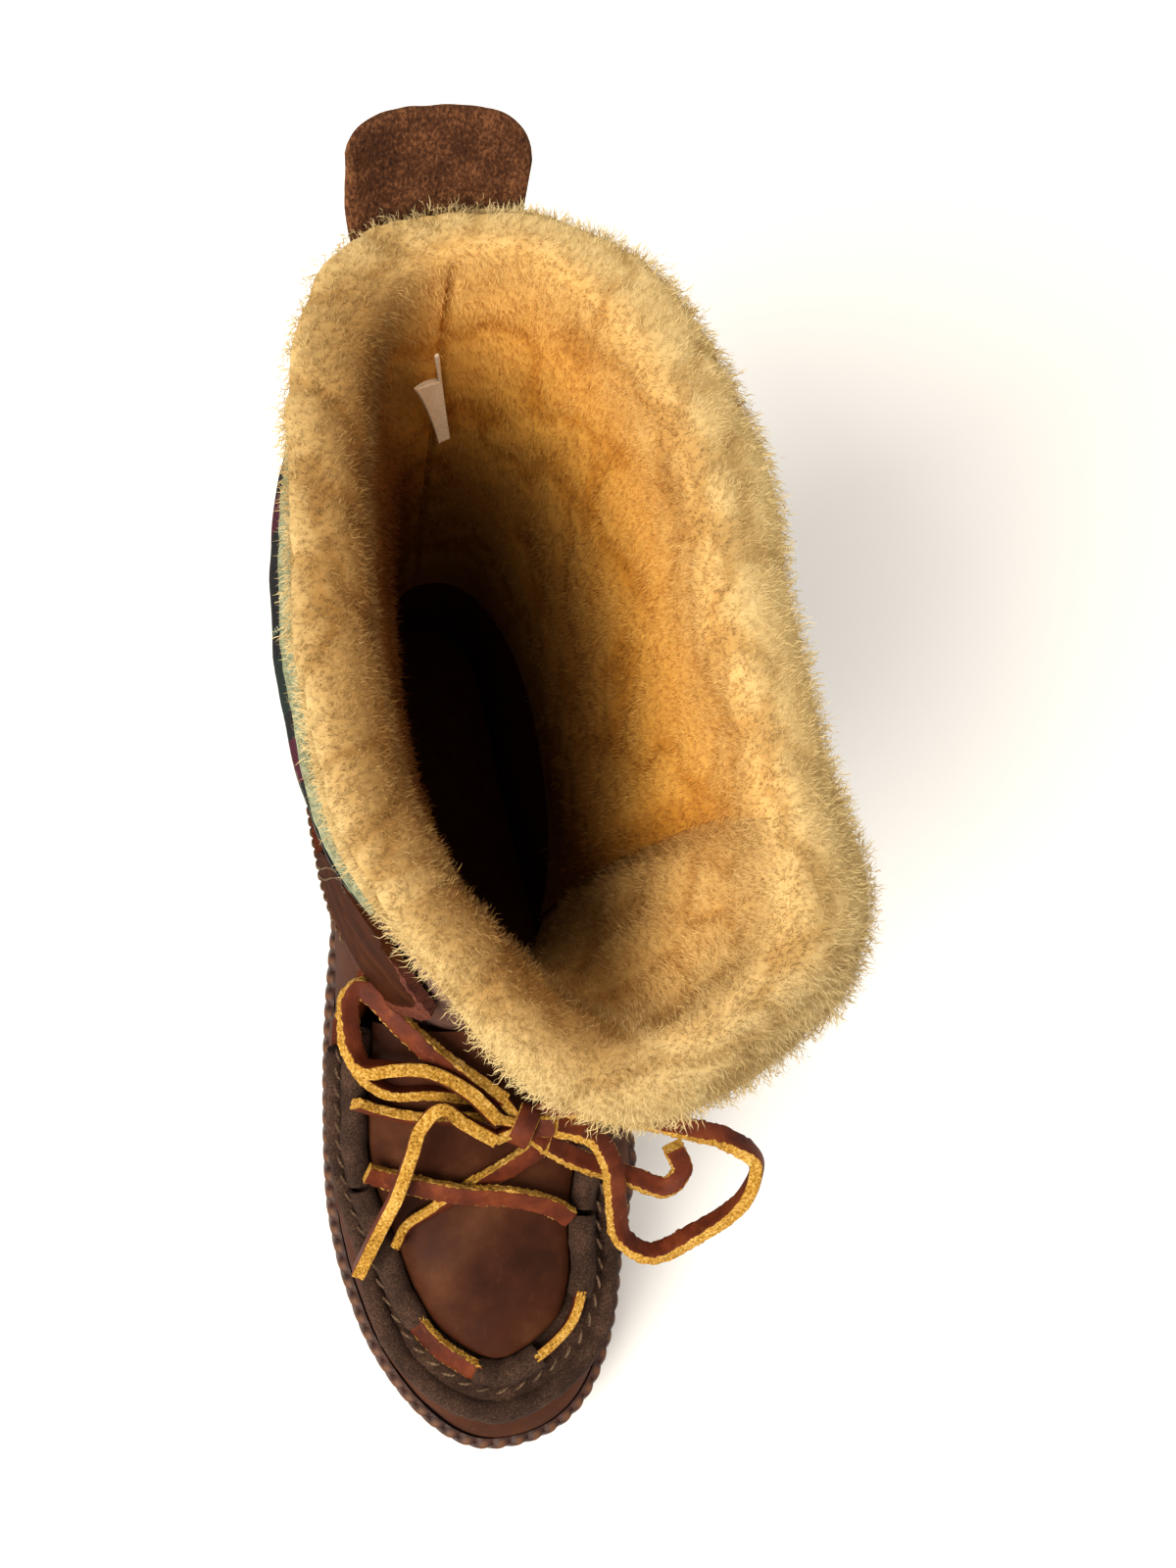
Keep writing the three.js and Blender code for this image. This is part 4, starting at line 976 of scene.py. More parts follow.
# casings: suede tunnels with open ends, where the lace comes out; name, node, first and last share
casingRuns = (
    ("casingMedialHigh", "casing_medial", 0.02, 0.204), ("casingMedialLow", "casing_medial", 0.211, 0.382),
    ("casingToe", "casing_toe", 0.467, 0.545),
    ("casingLateralLow", "casing_lateral", 0.628, 0.722), ("casingLateralHigh", "casing_lateral", 0.73, 0.98),
)


def makeCasing(name, first, last, seed):
    line = throatPoint(np.linspace(first, last, int((last - first) * casingLook["perShare"])))
    outer = tubeLoops(line, sizes["casingRadius"], casingLook["sides"])
    outward = unit(outer - line[:, None])
    place = np.linspace(0, 1, len(line))[:, None]
    lip = np.exp(-place * casingLook["lipRate"]) + np.exp(-(1 - place) * casingLook["lipRate"])
    relief = ripples(outer, (0.3, 19, seed), (0.2, 6.5, seed + 5)) - casingLook["lip"] * lip
    inner = outer - outward * casingLook["thick"]
    return loftPiece(name, np.vstack([outer + outward * relief[..., None], inner[::-1]]), ring=True)


for i, (name, node, first, last) in enumerate(casingRuns):
    finish(makeCasing(name, first, last, 21 + i), "roll", "suede", node)
print("apron and roll made")

# leg: wool shaft, its cut edge, tongue, facings, tab and label
legLook = {"around": 220, "up": 46, "edge": 6, "edgeOut": 0.3, "tongueAround": 130, "tongueUp": 80,
           "tongueFoot": -0.12}
woolLook = {"bulge": 3.4, "middle": -0.66, "reach": 0.3, "lumps": ((0.5, 44, 31), (0.2, 14, 32))}


def legSheet(name, angleOf, shares, levels, outer, inner, relief, inward=9):
    share, level = np.meshgrid(shares, levels, indexing="ij")
    angle = angleOf(share, level)
    outside = legPoint(angle, level, outer + relief(legPoint(angle, level, outer), share, level))
    back = np.linspace(levels[-1], levels[0], min(len(levels), inward))[None, :]
    inside = legPoint(angleOf(shares[:, None], back), back, inner)
    loops = np.hstack([outside, inside])
    around = np.linalg.norm(np.diff(loops, axis=0, prepend=loops[:1]), axis=2)
    around = np.cumsum(around, 0)[:, len(levels) // 2]
    around = np.broadcast_to((around - around[len(shares) // 2])[:, None], loops.shape[:2])
    uv = np.stack([around * mm, loops[..., 2] * mm], -1)
    return loftPiece(name, loops, uv=uv, split=len(levels))


def woolRelief(place, share, level):  # the wool bulges out below its cut edge on the medial side
    bulge = bell(share, woolLook["middle"], woolLook["reach"]) * smoothStep(level, 0.5, 0.82)
    bulge = bulge * (1 - 0.85 * smoothStep(level, 0.9, 0.965))
    return ripples(place, *woolLook["lumps"]) + woolLook["bulge"] * bulge


shaftTop = 1 - sizes["edgeBand"]
shaftShares = np.linspace(-1, 1, legLook["around"])
piece = legSheet("shaftWool", shaftAngle, shaftShares, np.linspace(0, shaftTop - 0.003, legLook["up"]),
                 0, -sizes["wool"], woolRelief)
finish(piece, "wool", "wool", "shaft")
piece = legSheet("collarEdge", shaftAngle, shaftShares, np.linspace(shaftTop, 1, legLook["edge"]),
                 legLook["edgeOut"], -sizes["wool"], lambda p, s, l: ripples(p, (0.25, 9, 33)))
finish(piece, "edge", "wool_edge", "collar_edge")
piece = legSheet("tongueLeather", tongueAngle, np.linspace(0, 1, legLook["tongueAround"]),
                 np.linspace(legLook["tongueFoot"], 1, legLook["tongueUp"]), 0, -sizes["leather"],
                 lambda p, s, l: ripples(p, (0.35, 38, 34), (0.15, 12, 35)))
finish(piece, "tongue", "apron_leather", "tongue")

facingLook = {"across": 60, "up": 90, "within": 9, "strip": 52, "top": 0.84, "lift": 0.008,
              "lumps": ((0.25, 33, 36), (0.12, 11, 37))}


def facingRelief(place, share, level):  # the front edge is pared, and stands up as a raw strip
    strip = smoothStep(share, 0.86, 0.9) * (0.9 + 0.5 * ripple(place, 6, 38))
    return ripples(place, *facingLook["lumps"]) + strip


def makeFacing(name, node, sign):
    piece = legSheet(name, facingAngle(sign), np.linspace(0, 1, facingLook["across"]),
                     np.linspace(sizes["quarterLevel"] + facingLook["lift"], facingLook["top"], facingLook["up"]),
                     sizes["facingGap"] + sizes["leather"], sizes["facingGap"], facingRelief, facingLook["within"])
    for face in piece.data.polygons:
        column, row = divmod(face.index, facingLook["up"] + facingLook["within"])
        face.material_index = 1 if column >= facingLook["strip"] and row < facingLook["up"] - 1 else 0
    finish(piece, "facing rawEdge", "leather", node)


makeFacing("facingMedial", "eyestay_medial", -1)
makeFacing("facingLateral", "eyestay_lateral", 1)

tabSizes = {"middle": -9.6, "half": 18.6, "thick": 3, "out": 1, "foot": -26, "top": 28, "corner": 7.5,
            "squarer": 11, "lean": 6, "taper": 2.6, "pared": 0.9, "across": 64, "up": 36,
            "lumps": ((0.5, 27, 41), (0.25, 9, 42))}


def makeTab():
    across = np.linspace(-1, 1, tabSizes["across"])
    corner = tabSizes["corner"] + tabSizes["squarer"] * smoothStep(-across, 0, 1)  # the medial one is squarer
    power = 2.6 + 0.8 * smoothStep(-across, -0.5, 0.5)
    top = corner + (tabSizes["top"] - corner) * (1 - (np.abs(across) * 0.985) ** power) ** (1 / power)
    up = np.linspace(0, 1, tabSizes["up"])
    lift = tabSizes["foot"] + (top[:, None] - tabSizes["foot"]) * up[None, :]
    angle = (tabSizes["middle"] + across * tabSizes["half"])[:, None] \
        + tabSizes["taper"] * np.clip(-across, 0, 1)[:, None] * smoothStep(lift, -2, 16)
    rim = np.maximum(smoothStep(np.abs(across), 0.93, 1.0)[:, None], smoothStep(up, 0.96, 1.0)[None, :])
    pared = tabSizes["pared"] * rim
    near = tabSizes["out"] + tabSizes["lean"] * smoothStep(-across, -0.35, 0.95)[:, None] * smoothStep(lift, -6, 14)
    outer = near + tabSizes["thick"]
    bulge = ripples(legPoint(angle, 1, outer, lift), *tabSizes["lumps"]) - pared
    outside = legPoint(angle, 1, outer + bulge, lift)
    inside = legPoint(angle, 1, near + pared, lift)[:, ::-1]
    finish(loftPiece("pullTab", np.hstack([outside, inside])), "tab", "tab_suede", "pull_tab")


makeTab()

labelSizes = {"side": -22.8, "lean": 16.7, "fold": 0.8, "clear": 2.6, "flap": 0.4, "flapReach": 0.05, "thick": 0.8,
              "out": 2.6, "foot": 0.655, "top": 0.88, "stem": 1.8, "width": 8.5, "wider": 10.5, "raised": 0.055,
              "bow": 0.9, "bowLength": 0.21, "across": 16, "up": 60}


def makeLabel():  # a tape folded over: a narrow stem from the seam, and its wide free end below
    foot, fold, top = (labelSizes[key] for key in ("foot", "fold", "top"))
    out = -sizes["wool"] - (sizes["pileLow"] + (sizes["pileTop"] - sizes["pileLow"]) * top) - labelSizes["out"]
    grid, level = np.meshgrid(np.linspace(-1, 1, labelSizes["across"]), np.linspace(foot, top, labelSizes["up"]),
                              indexing="ij")
    near = 0.5 - 0.5 * grid
    low = np.clip((level - foot) / (fold - foot), 0, 1)
    width = np.where(level > fold, labelSizes["stem"], labelSizes["width"] + labelSizes["wider"] * low**1.5)
    lean = labelSizes["lean"] * (top - level) / (top - foot)
    angle = labelSizes["side"] + lean - width * near
    bow = labelSizes["bow"] * np.sin((level - foot) / labelSizes["bowLength"] * math.pi)
    curl = bow - labelSizes["clear"] - labelSizes["flap"] * (bell(level, fold, labelSizes["flapReach"]) * near)
    level = level + labelSizes["raised"] * low**2 * near * (level < fold)
    outside = legPoint(angle, level, out + curl)
    inside = legPoint(angle, level, out - labelSizes["thick"] + curl)[:, ::-1]
    finish(loftPiece("seamLabel", np.hstack([outside, inside])), "label", "label_tape", "label")


makeLabel()
print("leg made")

# shearling: a lumpy body of wool, then its locks. Sizes in mm: how much thinner the pile is than its solid, its
# lumps, seams and crown, and how it turns over the edge of the shaft
pile = {"under": 1.5, "lump": 0.9, "grain": 0.12, "gusset": 3.4, "gussetWide": 4.5, "rear": 2.0, "rearWide": 1.7,
        "rearAngle": -11.5, "rearLean": 5.0, "crown": 10, "dip": 3, "gap": 0.95, "edge": 1.1, "dense": 74,
        "core": -14.0, "roundShaft": 300, "roundTongue": 150, "seed": 51, "overlap": 0.004,
        "hang": -1.5, "hangMore": 10.5, "deepShadeShaft": 0.76, "deepShadeTongue": 0.6, "toneTongue": 0.55}
# painted shade on the pile: down the leg, on the medial side, in the hollow beside the rear seam and under the
# turned front. Depth in mm, angles and widths in degrees, strengths as shares
paintedShade = {"deep": 120, "medialTurn": 12, "medialFade": (100, 140), "hollow": 0.95, "hollowAngle": -34,
          "hollowWide": 15, "front": 0.24, "frontAngle": 152, "frontWide": 26, "tone": 0.9, "creaseShade": 0.8}
# what the pile adds to its depth at the top and lower down, by degrees from the back
pileTable = {
    "angle": (-180, -120, -90, -60, -35, -15, 10, 180),
    "top": (0, 3, 3, 0, -4, -2, 0, 0),
    "low": (0, 8, 10, 8, 3, 1, 0, 0),
}
# how far the pile billows out over the edge of the shaft, or lies in from it
billowTable = {
    "angle": (-180, -82, -60, -42, -28, -14, 0, 10, 24, 38, 180),
    "out": (0, 1, 4.4, 6.8, 4.6, -0.8, -4.6, -6, -4.5, 0, 0),
}
# at each point of the profile: golden tone, share of locks, their length and droop, the lumps' fade, painted shade
pileRows = {
    "tone": (0, 0, 0, 0, 0.06, 0.4, 0.85, 1, 1, 1, 1, 1),
    "cover": (0.6, 0.9, 1, 1, 1, 1, 1, 0.9, 0.7, 0.35, 0.12, 0),
    "long": (0.9, 1.15, 1.1, 0.95, 0.85, 0.8, 0.75, 0.75, 0.8, 0.8, 0.8, 0.8),
    "droop": (-0.6, -0.8, -0.8, -0.7, -0.4, 0.3, 0.9, 1, 1, 1, 1, 1),
    "lump": (0, 0.6, 1, 1, 1, 1, 1, 1, 1, 1, 0.6, 0),
    "shade": (0, 0, 0, 0.05, 0.42, 0.68, 0.82, 0.85, 0.85, 0.85, 0.85, 0.85),
}
wallLevels = (0, 0.16, 0.32, 0.5, 0.68, 0.84)


def fleeceProfile(angleOf, share, wall):  # outline points of the pile at each share, much as the solid has them
    angle = angleOf(share, 1.0)
    signed = np.where(angle > 180, angle - 360, angle)
    reach = readTable(overhangTable, "reach", signed)
    hang = pile["hang"] + pile["hangMore"] * smoothStep(reach, 0.4, 6)
    back = -wall - pile["gap"]
    billow = readTable(billowTable, "out", signed)
    more = {key: readTable(pileTable, key, signed) for key in ("top", "low")}
    edge = np.minimum(reach, pile["edge"])
    crown = pile["crown"] - pile["dip"] * smoothStep(np.cos(np.radians(signed)), 0.2, 0.95)

    def point(level, out, lift=0.0):
        return legPoint(angleOf(share, level), level, out, lift)

    def depth(level):
        swell = more["top"] + (more["low"] - more["top"]) * smoothStep(1 - level, 0, 0.4)
        return sizes["pileLow"] + (sizes["pileTop"] - sizes["pileLow"]) * level + swell

    over = (  # how far out and up, from the wall over the edge and down to the crown's inner side
        (back, 0.4), (edge, 1), (edge, -hang), (reach * 1.2, -hang - 1),
        (reach * 1.55 + 0.8 * billow, 3 - 0.3 * hang), (reach * 0.5 - 1 + billow, 8),
        (back - depth(1) * 0.45 + 0.4 * billow, crown), (back - depth(1) - 1, 4))
    return np.stack([point(level, back) for level in wallLevels] + [point(1, out, lift) for out, lift in over]
                    + [point(level, back - depth(level)) for level in wallLevels[::-1]], 1)


def makeFleece(name, angleOf, shares, wall, node):
    onTongue = wall == sizes["leather"]
    rows = fleeceProfile(angleOf, shares, wall)
    backs = len(wallLevels) + 3  # rows that lie against the wall stay as they are
    front = rows[:, backs - 1:]
    fine = np.stack([splinePath(line, pile["dense"], 12) for line in front])
    place = np.linspace(0, 1, pile["dense"])
    reach = np.cumsum(np.linalg.norm(np.diff(front, axis=1, prepend=front[:, :1]), axis=2), 1)
    reach = reach / reach[:, -1:]
    row = {key: np.stack([np.interp(place, line, values) for line in reach]) for key, values in pileRows.items()}
    outward = unit(np.cross(np.gradient(fine, axis=1), np.gradient(fine, axis=0)))
    core = legPoint(angleOf(shares, 1.0), 1.0, pile["core"], pile["core"])
    if ((fine[:, 30] - core) * outward[:, 30]).sum() < 0:
        outward = -outward
    fold = np.abs(ripple(fine, 46, pile["seed"]) + 0.3 * ripple(fine, 17, pile["seed"] + 2))
    creaseShade = bell(fold, 0, 0.13)
    lumps = pile["lump"] * (1.6 * (1 - np.exp(-fold / 0.4)) - 1) + pile["grain"] * ripple(fine, 8, pile["seed"] + 1)
    angles = angleOf(shares, 1.0)[:, None]
    seamAngle = readTable(legTable, "lateralSeam", 1.0)
    gusset = bell(angles, seamAngle, pile["gussetWide"]) * smoothStep(place, 0.22, 0.4)[None]
    rear = np.exp(-((angles - pile["rearAngle"] - pile["rearLean"] * place[None]) / pile["rearWide"]) ** 2)
    rear = rear * smoothStep(place, 0.12, 0.2)[None]
    sunk = (lumps * (1 - np.maximum(gusset, rear)) - pile["gusset"] * gusset - pile["rear"] * rear) * row["lump"]
    sunk = sunk - pile["under"] * smoothStep(place, 0, 0.05)[None]
    fine = fine + outward * sunk[..., None]
    loops = np.hstack([rows[:, :backs - 1], fine])
    down, around = (unit(np.gradient(fine, axis=axis)) for axis in (1, 0))
    flow = np.zeros(loops.shape)
    flow[:, backs - 1:] = down * row["droop"][..., None] + around * (0.45 * ripple(fine, 30, 57))[..., None]

    def withBack(values):
        return np.hstack([np.zeros((len(shares), backs - 1)), values])

    # painted shade: darker down the leg, on the medial side, in the hollow by the rear seam and under the turned
    # front
    depth = np.clip((legPoint(angleOf(shares, 1.0), 1.0)[:, None, 2] - loops[..., 2]) / paintedShade["deep"], 0, 1)
    medial = smoothStep(-np.sin(np.radians(angles + paintedShade["medialTurn"])), 0, 0.6)
    medial = medial * (1 - 0.5 * smoothStep(-angles, *paintedShade["medialFade"]))
    hollow = bell(angles, paintedShade["hollowAngle"], paintedShade["hollowWide"]) * smoothStep(place, 0.38, 0.55)[None]
    turned = paintedShade["front"] * bell(angles, paintedShade["frontAngle"], paintedShade["frontWide"])
    turned = turned * smoothStep(-place, -0.45, -0.3)[None]
    inside = withBack(np.maximum(np.maximum(row["shade"] * medial, paintedShade["hollow"] * hollow), turned))
    deepShade = pile["deepShadeTongue"] if onTongue else pile["deepShadeShaft"]
    inside = inside + (1 - inside) * deepShade * smoothStep(depth, 0.05, 0.7)
    # the tone turns golden where the medial painted shade falls, and creases and seams get painted shade too
    tone = row["tone"] * (pile["toneTongue"] if onTongue else 1)
    piece = loftPiece(name, loops, split=backs, attributes={
        "inside": inside, "cover": withBack(row["cover"] * (1 - 0.6 * rear)), "long": withBack(row["long"]),
        "flow": flow, "tone": withBack(np.maximum(tone, paintedShade["tone"] * row["shade"] * medial)),
        "creaseShade": withBack(paintedShade["creaseShade"] * np.maximum(creaseShade, np.maximum(gusset, rear)))})
    return finish(piece, "fleece", "shearling", node)


shaftFleece = makeFleece("shaftFleece", shaftAngle,
                         np.linspace(-1 - pile["overlap"], 1 + pile["overlap"], pile["roundShaft"]),
                         sizes["wool"], "shaft_fleece")
tongueFleece = makeFleece("tongueFleece", tongueAngle,
                          np.linspace(-pile["overlap"], 1 + pile["overlap"], pile["roundTongue"]),
                          sizes["leather"], "tongue_fleece")
print("fleece made")

# locks: crimped tufts of fibres, scattered over the fleece
lockSizes = {"strands": 10, "steps": 3, "root": 2.7, "stray": 1.2, "reach": (1.9, 4.1), "wave": 0.42, "half": 0.16,
             "sunk": 0.6, "grow": (0.8, 1.15), "density": 400000.0}


def makeLock(name, seed):  # a small tuft of crimped wool, growing along Z
    rng = np.random.default_rng(seed)
    points, faces, along = [], [], []
    steps = lockSizes["steps"]
    for _ in range(lockSizes["strands"]):
        root = rng.uniform(-lockSizes["root"], lockSizes["root"], 2)
        end = root + rng.normal(0, lockSizes["stray"], 2)
        phase, twist = rng.uniform(0, 6.28, 2)
        reach = rng.uniform(*lockSizes["reach"])
        for s in range(steps + 1):
            t = s / steps
            wave = lockSizes["wave"] * (0.3 + t)
            centre = np.array([root[0] + (end[0] - root[0]) * t + wave * math.sin(phase + t * 7.5),
                               root[1] + (end[1] - root[1]) * t + wave * math.cos(phase * 1.7 + t * 6.5),
                               t * reach - lockSizes["sunk"]])
            half = lockSizes["half"] * (1 - t) ** 0.5
            side = np.array([math.cos(twist + t * 2.4), math.sin(twist + t * 2.4), 0]) * half
            points += [centre - side, centre + side] if s < steps else [centre]
            along += [t, t] if s < steps else [t]
        first = len(points) - 2 * steps - 1
        for s in range(steps):
            a = first + 2 * s
            faces.append((a, a + 1, a + 3, a + 2) if s < steps - 1 else (a, a + 1, a + 2))
    return makeMesh(name, np.array(points), faces, attributes={"along": np.array(along)})


def startTree(name, given, **kinds):  # a tree that takes a geometry and some values
    tree = bpy.data.node_groups.new(name, "GeometryNodeTree")
    for label, kind in ((given, "Geometry"), *kinds.items()):
        tree.interface.new_socket(label, in_out="INPUT", socket_type="NodeSocket" + kind)
    tree.interface.new_socket("copies", in_out="OUTPUT", socket_type="NodeSocketGeometry")
    return tree, addNode(tree, "NodeGroupInput").outputs


def placeShape(tree, shape, material, points, rotation, scale):  # ends a tree with copies of the shape
    source = addNode(tree, "GeometryNodeObjectInfo", {"Object": shape}).outputs["Geometry"]
    placed = addNode(tree, "GeometryNodeInstanceOnPoints", {
        "Points": points, "Instance": source, "Rotation": rotation, "Scale": scale})
    whole = addNode(tree, "GeometryNodeRealizeInstances", {"Geometry": placed})
    dressed = addNode(tree, "GeometryNodeSetMaterial", {"Geometry": whole, "Material": material})
    addNode(tree, "NodeGroupOutput", {"copies": dressed})
    return tree


def makeFurTree(name, lock, material):
    tree, given = startTree(name, "base", density="Float", seed="Int", size="Float", spread="Float", apart="Float")
    cover = addNode(tree, "GeometryNodeInputNamedAttribute", {"Name": "cover"})
    flow = addNode(tree, "GeometryNodeInputNamedAttribute", {"Name": "flow"}, data_type="FLOAT_VECTOR")
    points = addNode(tree, "GeometryNodeDistributePointsOnFaces", {
        "Mesh": given["base"], "Distance Min": given["apart"], "Density Max": given["density"],
        "Density Factor": cover, "Seed": given["seed"]}, distribute_method="POISSON").outputs
    jitter = addNode(tree, "FunctionNodeRandomValue", {0: (-1, -1, -1), 1: (1, 1, 1), "Seed": given["seed"]},
                     data_type="FLOAT_VECTOR")
    loose = addNode(tree, "ShaderNodeVectorMath", {0: jitter, "Scale": given["spread"]}, operation="SCALE")
    way = addNode(tree, "ShaderNodeVectorMath", {0: points["Normal"], 1: flow}, operation="ADD")
    way = addNode(tree, "ShaderNodeVectorMath", {0: way, 1: loose}, operation="ADD")
    upright = addNode(tree, "FunctionNodeAlignRotationToVector", {"Vector": way}, axis="Z")
    angle = addNode(tree, "FunctionNodeRandomValue", {2: 0.0, 3: 6.283, "Seed": 5}, data_type="FLOAT").outputs[1]
    spin = addNode(tree, "FunctionNodeAxisAngleToRotation", {"Axis": (0, 0, 1), "Angle": angle})
    turned = addNode(tree, "FunctionNodeRotateRotation", {"Rotation": upright, "Rotate By": spin},
                     rotation_space="LOCAL")
    least, most = lockSizes["grow"]
    grow = addNode(tree, "FunctionNodeRandomValue", {2: least, 3: most, "Seed": 9}, data_type="FLOAT").outputs[1]
    long = addNode(tree, "GeometryNodeInputNamedAttribute", {"Name": "long"})
    scale = addNode(tree, "ShaderNodeMath", {0: grow, 1: given["size"]}, operation="MULTIPLY")
    scale = addNode(tree, "ShaderNodeMath", {0: scale, 1: long}, operation="MULTIPLY")
    return placeShape(tree, lock, material, points["Points"], turned, scale)


def growCopies(name, base, tree, settings):  # makes the tree's result on the base into a piece of its own
    modifier = base.modifiers.new("copies", "NODES")
    modifier.node_group = tree
    for item in tree.interface.items_tree:
        if item.in_out == "INPUT" and item.name in settings:
            modifier[item.identifier] = settings[item.name]
    mesh = bpy.data.meshes.new_from_object(base.evaluated_get(bpy.context.evaluated_depsgraph_get()))
    base.modifiers.remove(modifier)
    mesh.name = name
    piece = addPiece(name, mesh)
    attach(piece, "root")
    mesh.calc_loop_triangles()
    print(name, len(mesh.loop_triangles), "triangles")


lockShapes = [makeLock(f"lock{i}", 71 + i) for i in range(3)]
furRuns = (
    ("shaftLocksA", shaftFleece, 0, {"apart": 0.0024, "seed": 3, "size": 1.0, "spread": 0.25}),
    ("shaftLocksB", shaftFleece, 1, {"apart": 0.0024, "seed": 4, "size": 0.9, "spread": 0.35}),
    ("tongueLocksA", tongueFleece, 2, {"apart": 0.0023, "seed": 5, "size": 1.0, "spread": 0.25}),
    ("tongueLocksB", tongueFleece, 1, {"apart": 0.0023, "seed": 6, "size": 0.9, "spread": 0.35}),
)
for name, base, shape, settings in furRuns:
    tree = makeFurTree(name + "Tree", lockShapes[shape], finishes["fibres"])
    growCopies(name, base, tree, {"density": lockSizes["density"]} | settings)
for lock in lockShapes:
    bpy.data.objects.remove(lock)
print("locks grown")

# stitches: their length, thickness and bow
stitchSizes = {"short": (2.4, 0.32, 0.35), "long": (4.2, 0.42, 0.6), "pitch": 3.2, "mocPitch": 5.6, "mocSkew": 24,
               "mocOut": 4.75, "above": 0.1, "quarterReach": 0.235, "quarterBelow": (3.2, 5.8),
               "facingShares": (0.05, 0.1), "facingTop": 0.82, "tabReach": 0.86, "tabLift": -17.5}


def makeStitchShape(name, long, radius, arch):  # one thread stitch along X, bowed up along Z
    t = np.linspace(-1, 1, 6)
    line = stack(t * long / 2, 0, arch * (1 - t**2) - 0.1)
    thin = radius * np.clip((1 - np.abs(t) ** 6), 0.25, 1)
    return loftPiece(name, tubeLoops(line, thin, 5))


def makeCopiesTree(name, shape, material):  # puts the shape on each point, turned by its attribute and sized by the size given
    tree, given = startTree(name, "points", size="Float")
    turn = addNode(tree, "GeometryNodeInputNamedAttribute", {"Name": "turn"}, data_type="FLOAT_VECTOR")
    turned = addNode(tree, "FunctionNodeEulerToRotation", {"Euler": turn})
    return placeShape(tree, shape, material, given["points"], turned, given["size"])


def evenRow(line, normal, pitch=stitchSizes["pitch"], skew=0.0):  # places, directions and normals along a line
    reach = lengthAlong(line)
    at = np.arange(pitch / 2, reach[-1], pitch)
    place = readLine(line, reach, at)
    run = unit(readLine(np.gradient(line, axis=0), reach, at))
    out = unit(readLine(normal, reach, at))
    return place, unit(run + unit(np.cross(out, run)) * math.tan(math.radians(skew))), out


def placeCopies(name, shape, rows):
    places, turns = [], []
    for p, x, z in (each for row in rows for each in zip(*row)):
        y = np.cross(z, x)
        places.append(p)
        turns.append(Matrix(np.stack([x, unit(y), unit(np.cross(x, y))], 1).tolist()).to_euler())
    points = makeMesh(name + "Points", np.array(places), [], attributes={"turn": np.array(turns)})
    tree = makeCopiesTree(name + "Tree", shape, finishes["thread"])
    growCopies(name, points, tree, {"size": 1.0})
    bpy.data.objects.remove(points)


shortStitch = makeStitchShape("shortStitch", *stitchSizes["short"])
longStitch = makeStitchShape("longStitch", *stitchSizes["long"])


def mocRow():  # twisted thread that laces the roll to the casings' flange
    share = np.linspace(rollSizes["end"], 1 - rollSizes["end"], 900)
    inward = tuck["stitches"] * rollTuck(share)
    line = throatPoint(share, stitchSizes["mocOut"] - inward, 0.3)
    normal = unit(throatPoint(share, stitchSizes["mocOut"] + 0.35 - inward, 1.3) - line)
    return evenRow(line, normal, stitchSizes["mocPitch"], stitchSizes["mocSkew"])


def quarterRow(below):  # along the quarter's top edge, this far below it
    turn = np.linspace(-stitchSizes["quarterReach"], stitchSizes["quarterReach"], 500)
    high = upperEdge(turn)[..., 2] - upperSurface(turn, 0.5)[..., 2]
    rise = 1 - 0.5 * below / high
    base = upperPoint(turn, rise, upperRelief(turn, rise) + stitchSizes["above"])
    return evenRow(base, unit(upperPoint(turn, rise, 3.0) - base))


def facingRow(sign, along):  # at a share of the facing's width from its back edge
    level = np.linspace(sizes["quarterLevel"] + 0.02, stitchSizes["facingTop"], 300)
    angle = facingAngle(sign)(along, level)
    out = sizes["facingGap"] + sizes["leather"] + stitchSizes["above"]
    base = legPoint(angle, level, out)
    return evenRow(base, unit(legPoint(angle, level, out + 1.0) - base))


def tabRow(lift):
    across = np.linspace(-stitchSizes["tabReach"], stitchSizes["tabReach"], 200)
    angle = tabSizes["middle"] + across * tabSizes["half"]
    base = legPoint(angle, 1, tabSizes["out"] + tabSizes["thick"] + 0.2, lift)
    return evenRow(base, unit(legPoint(angle, 1, 8, lift) - base))


placeCopies("mocStitches", longStitch, [mocRow()])
placeCopies("topStitches", shortStitch, [quarterRow(below) for below in stitchSizes["quarterBelow"]]
            + [facingRow(sign, along) for sign in (-1, 1) for along in stitchSizes["facingShares"]])
placeCopies("tabStitches", shortStitch, [tabRow(stitchSizes["tabLift"])])
for shape in (shortStitch, longStitch):
    bpy.data.objects.remove(shape)
print("stitches placed")

# sole: a rim of moulded ropes that lean along it, the outsole and its tread
rimSizes = {
    "ropes": 112, "steps": 9, "slant": 0.9, "relief": 1.5, "drop": 1.3, "crestHighlight": 1.1, "sharp": 5, "kept": 0.35,
    "behind": 0.15, "inner": 12.0,
    "profile": (  # inset, share of the height between the low line and the feather line, rope's share, its drop
        (6, 0, 0, 0), (1.6, 0, 0, 0), (0.7, 0.06, 0.3, 0), (0.15, 0.2, 0.9, 0), (0, 0.4, 1, 0), (0, 0.6, 1, 0),
        (0.1, 0.8, 1, 0.1), (0.5, 0.93, 0.9, 0.5), (1.2, 0.985, 0.6, 1), (2.2, 1.0, 0.3, 0.9), (3.3, 1.0, 0, 0)),
}


def rimLow(station):
    return under(station) + sizes["outsoleThick"] + sizes["gap"]


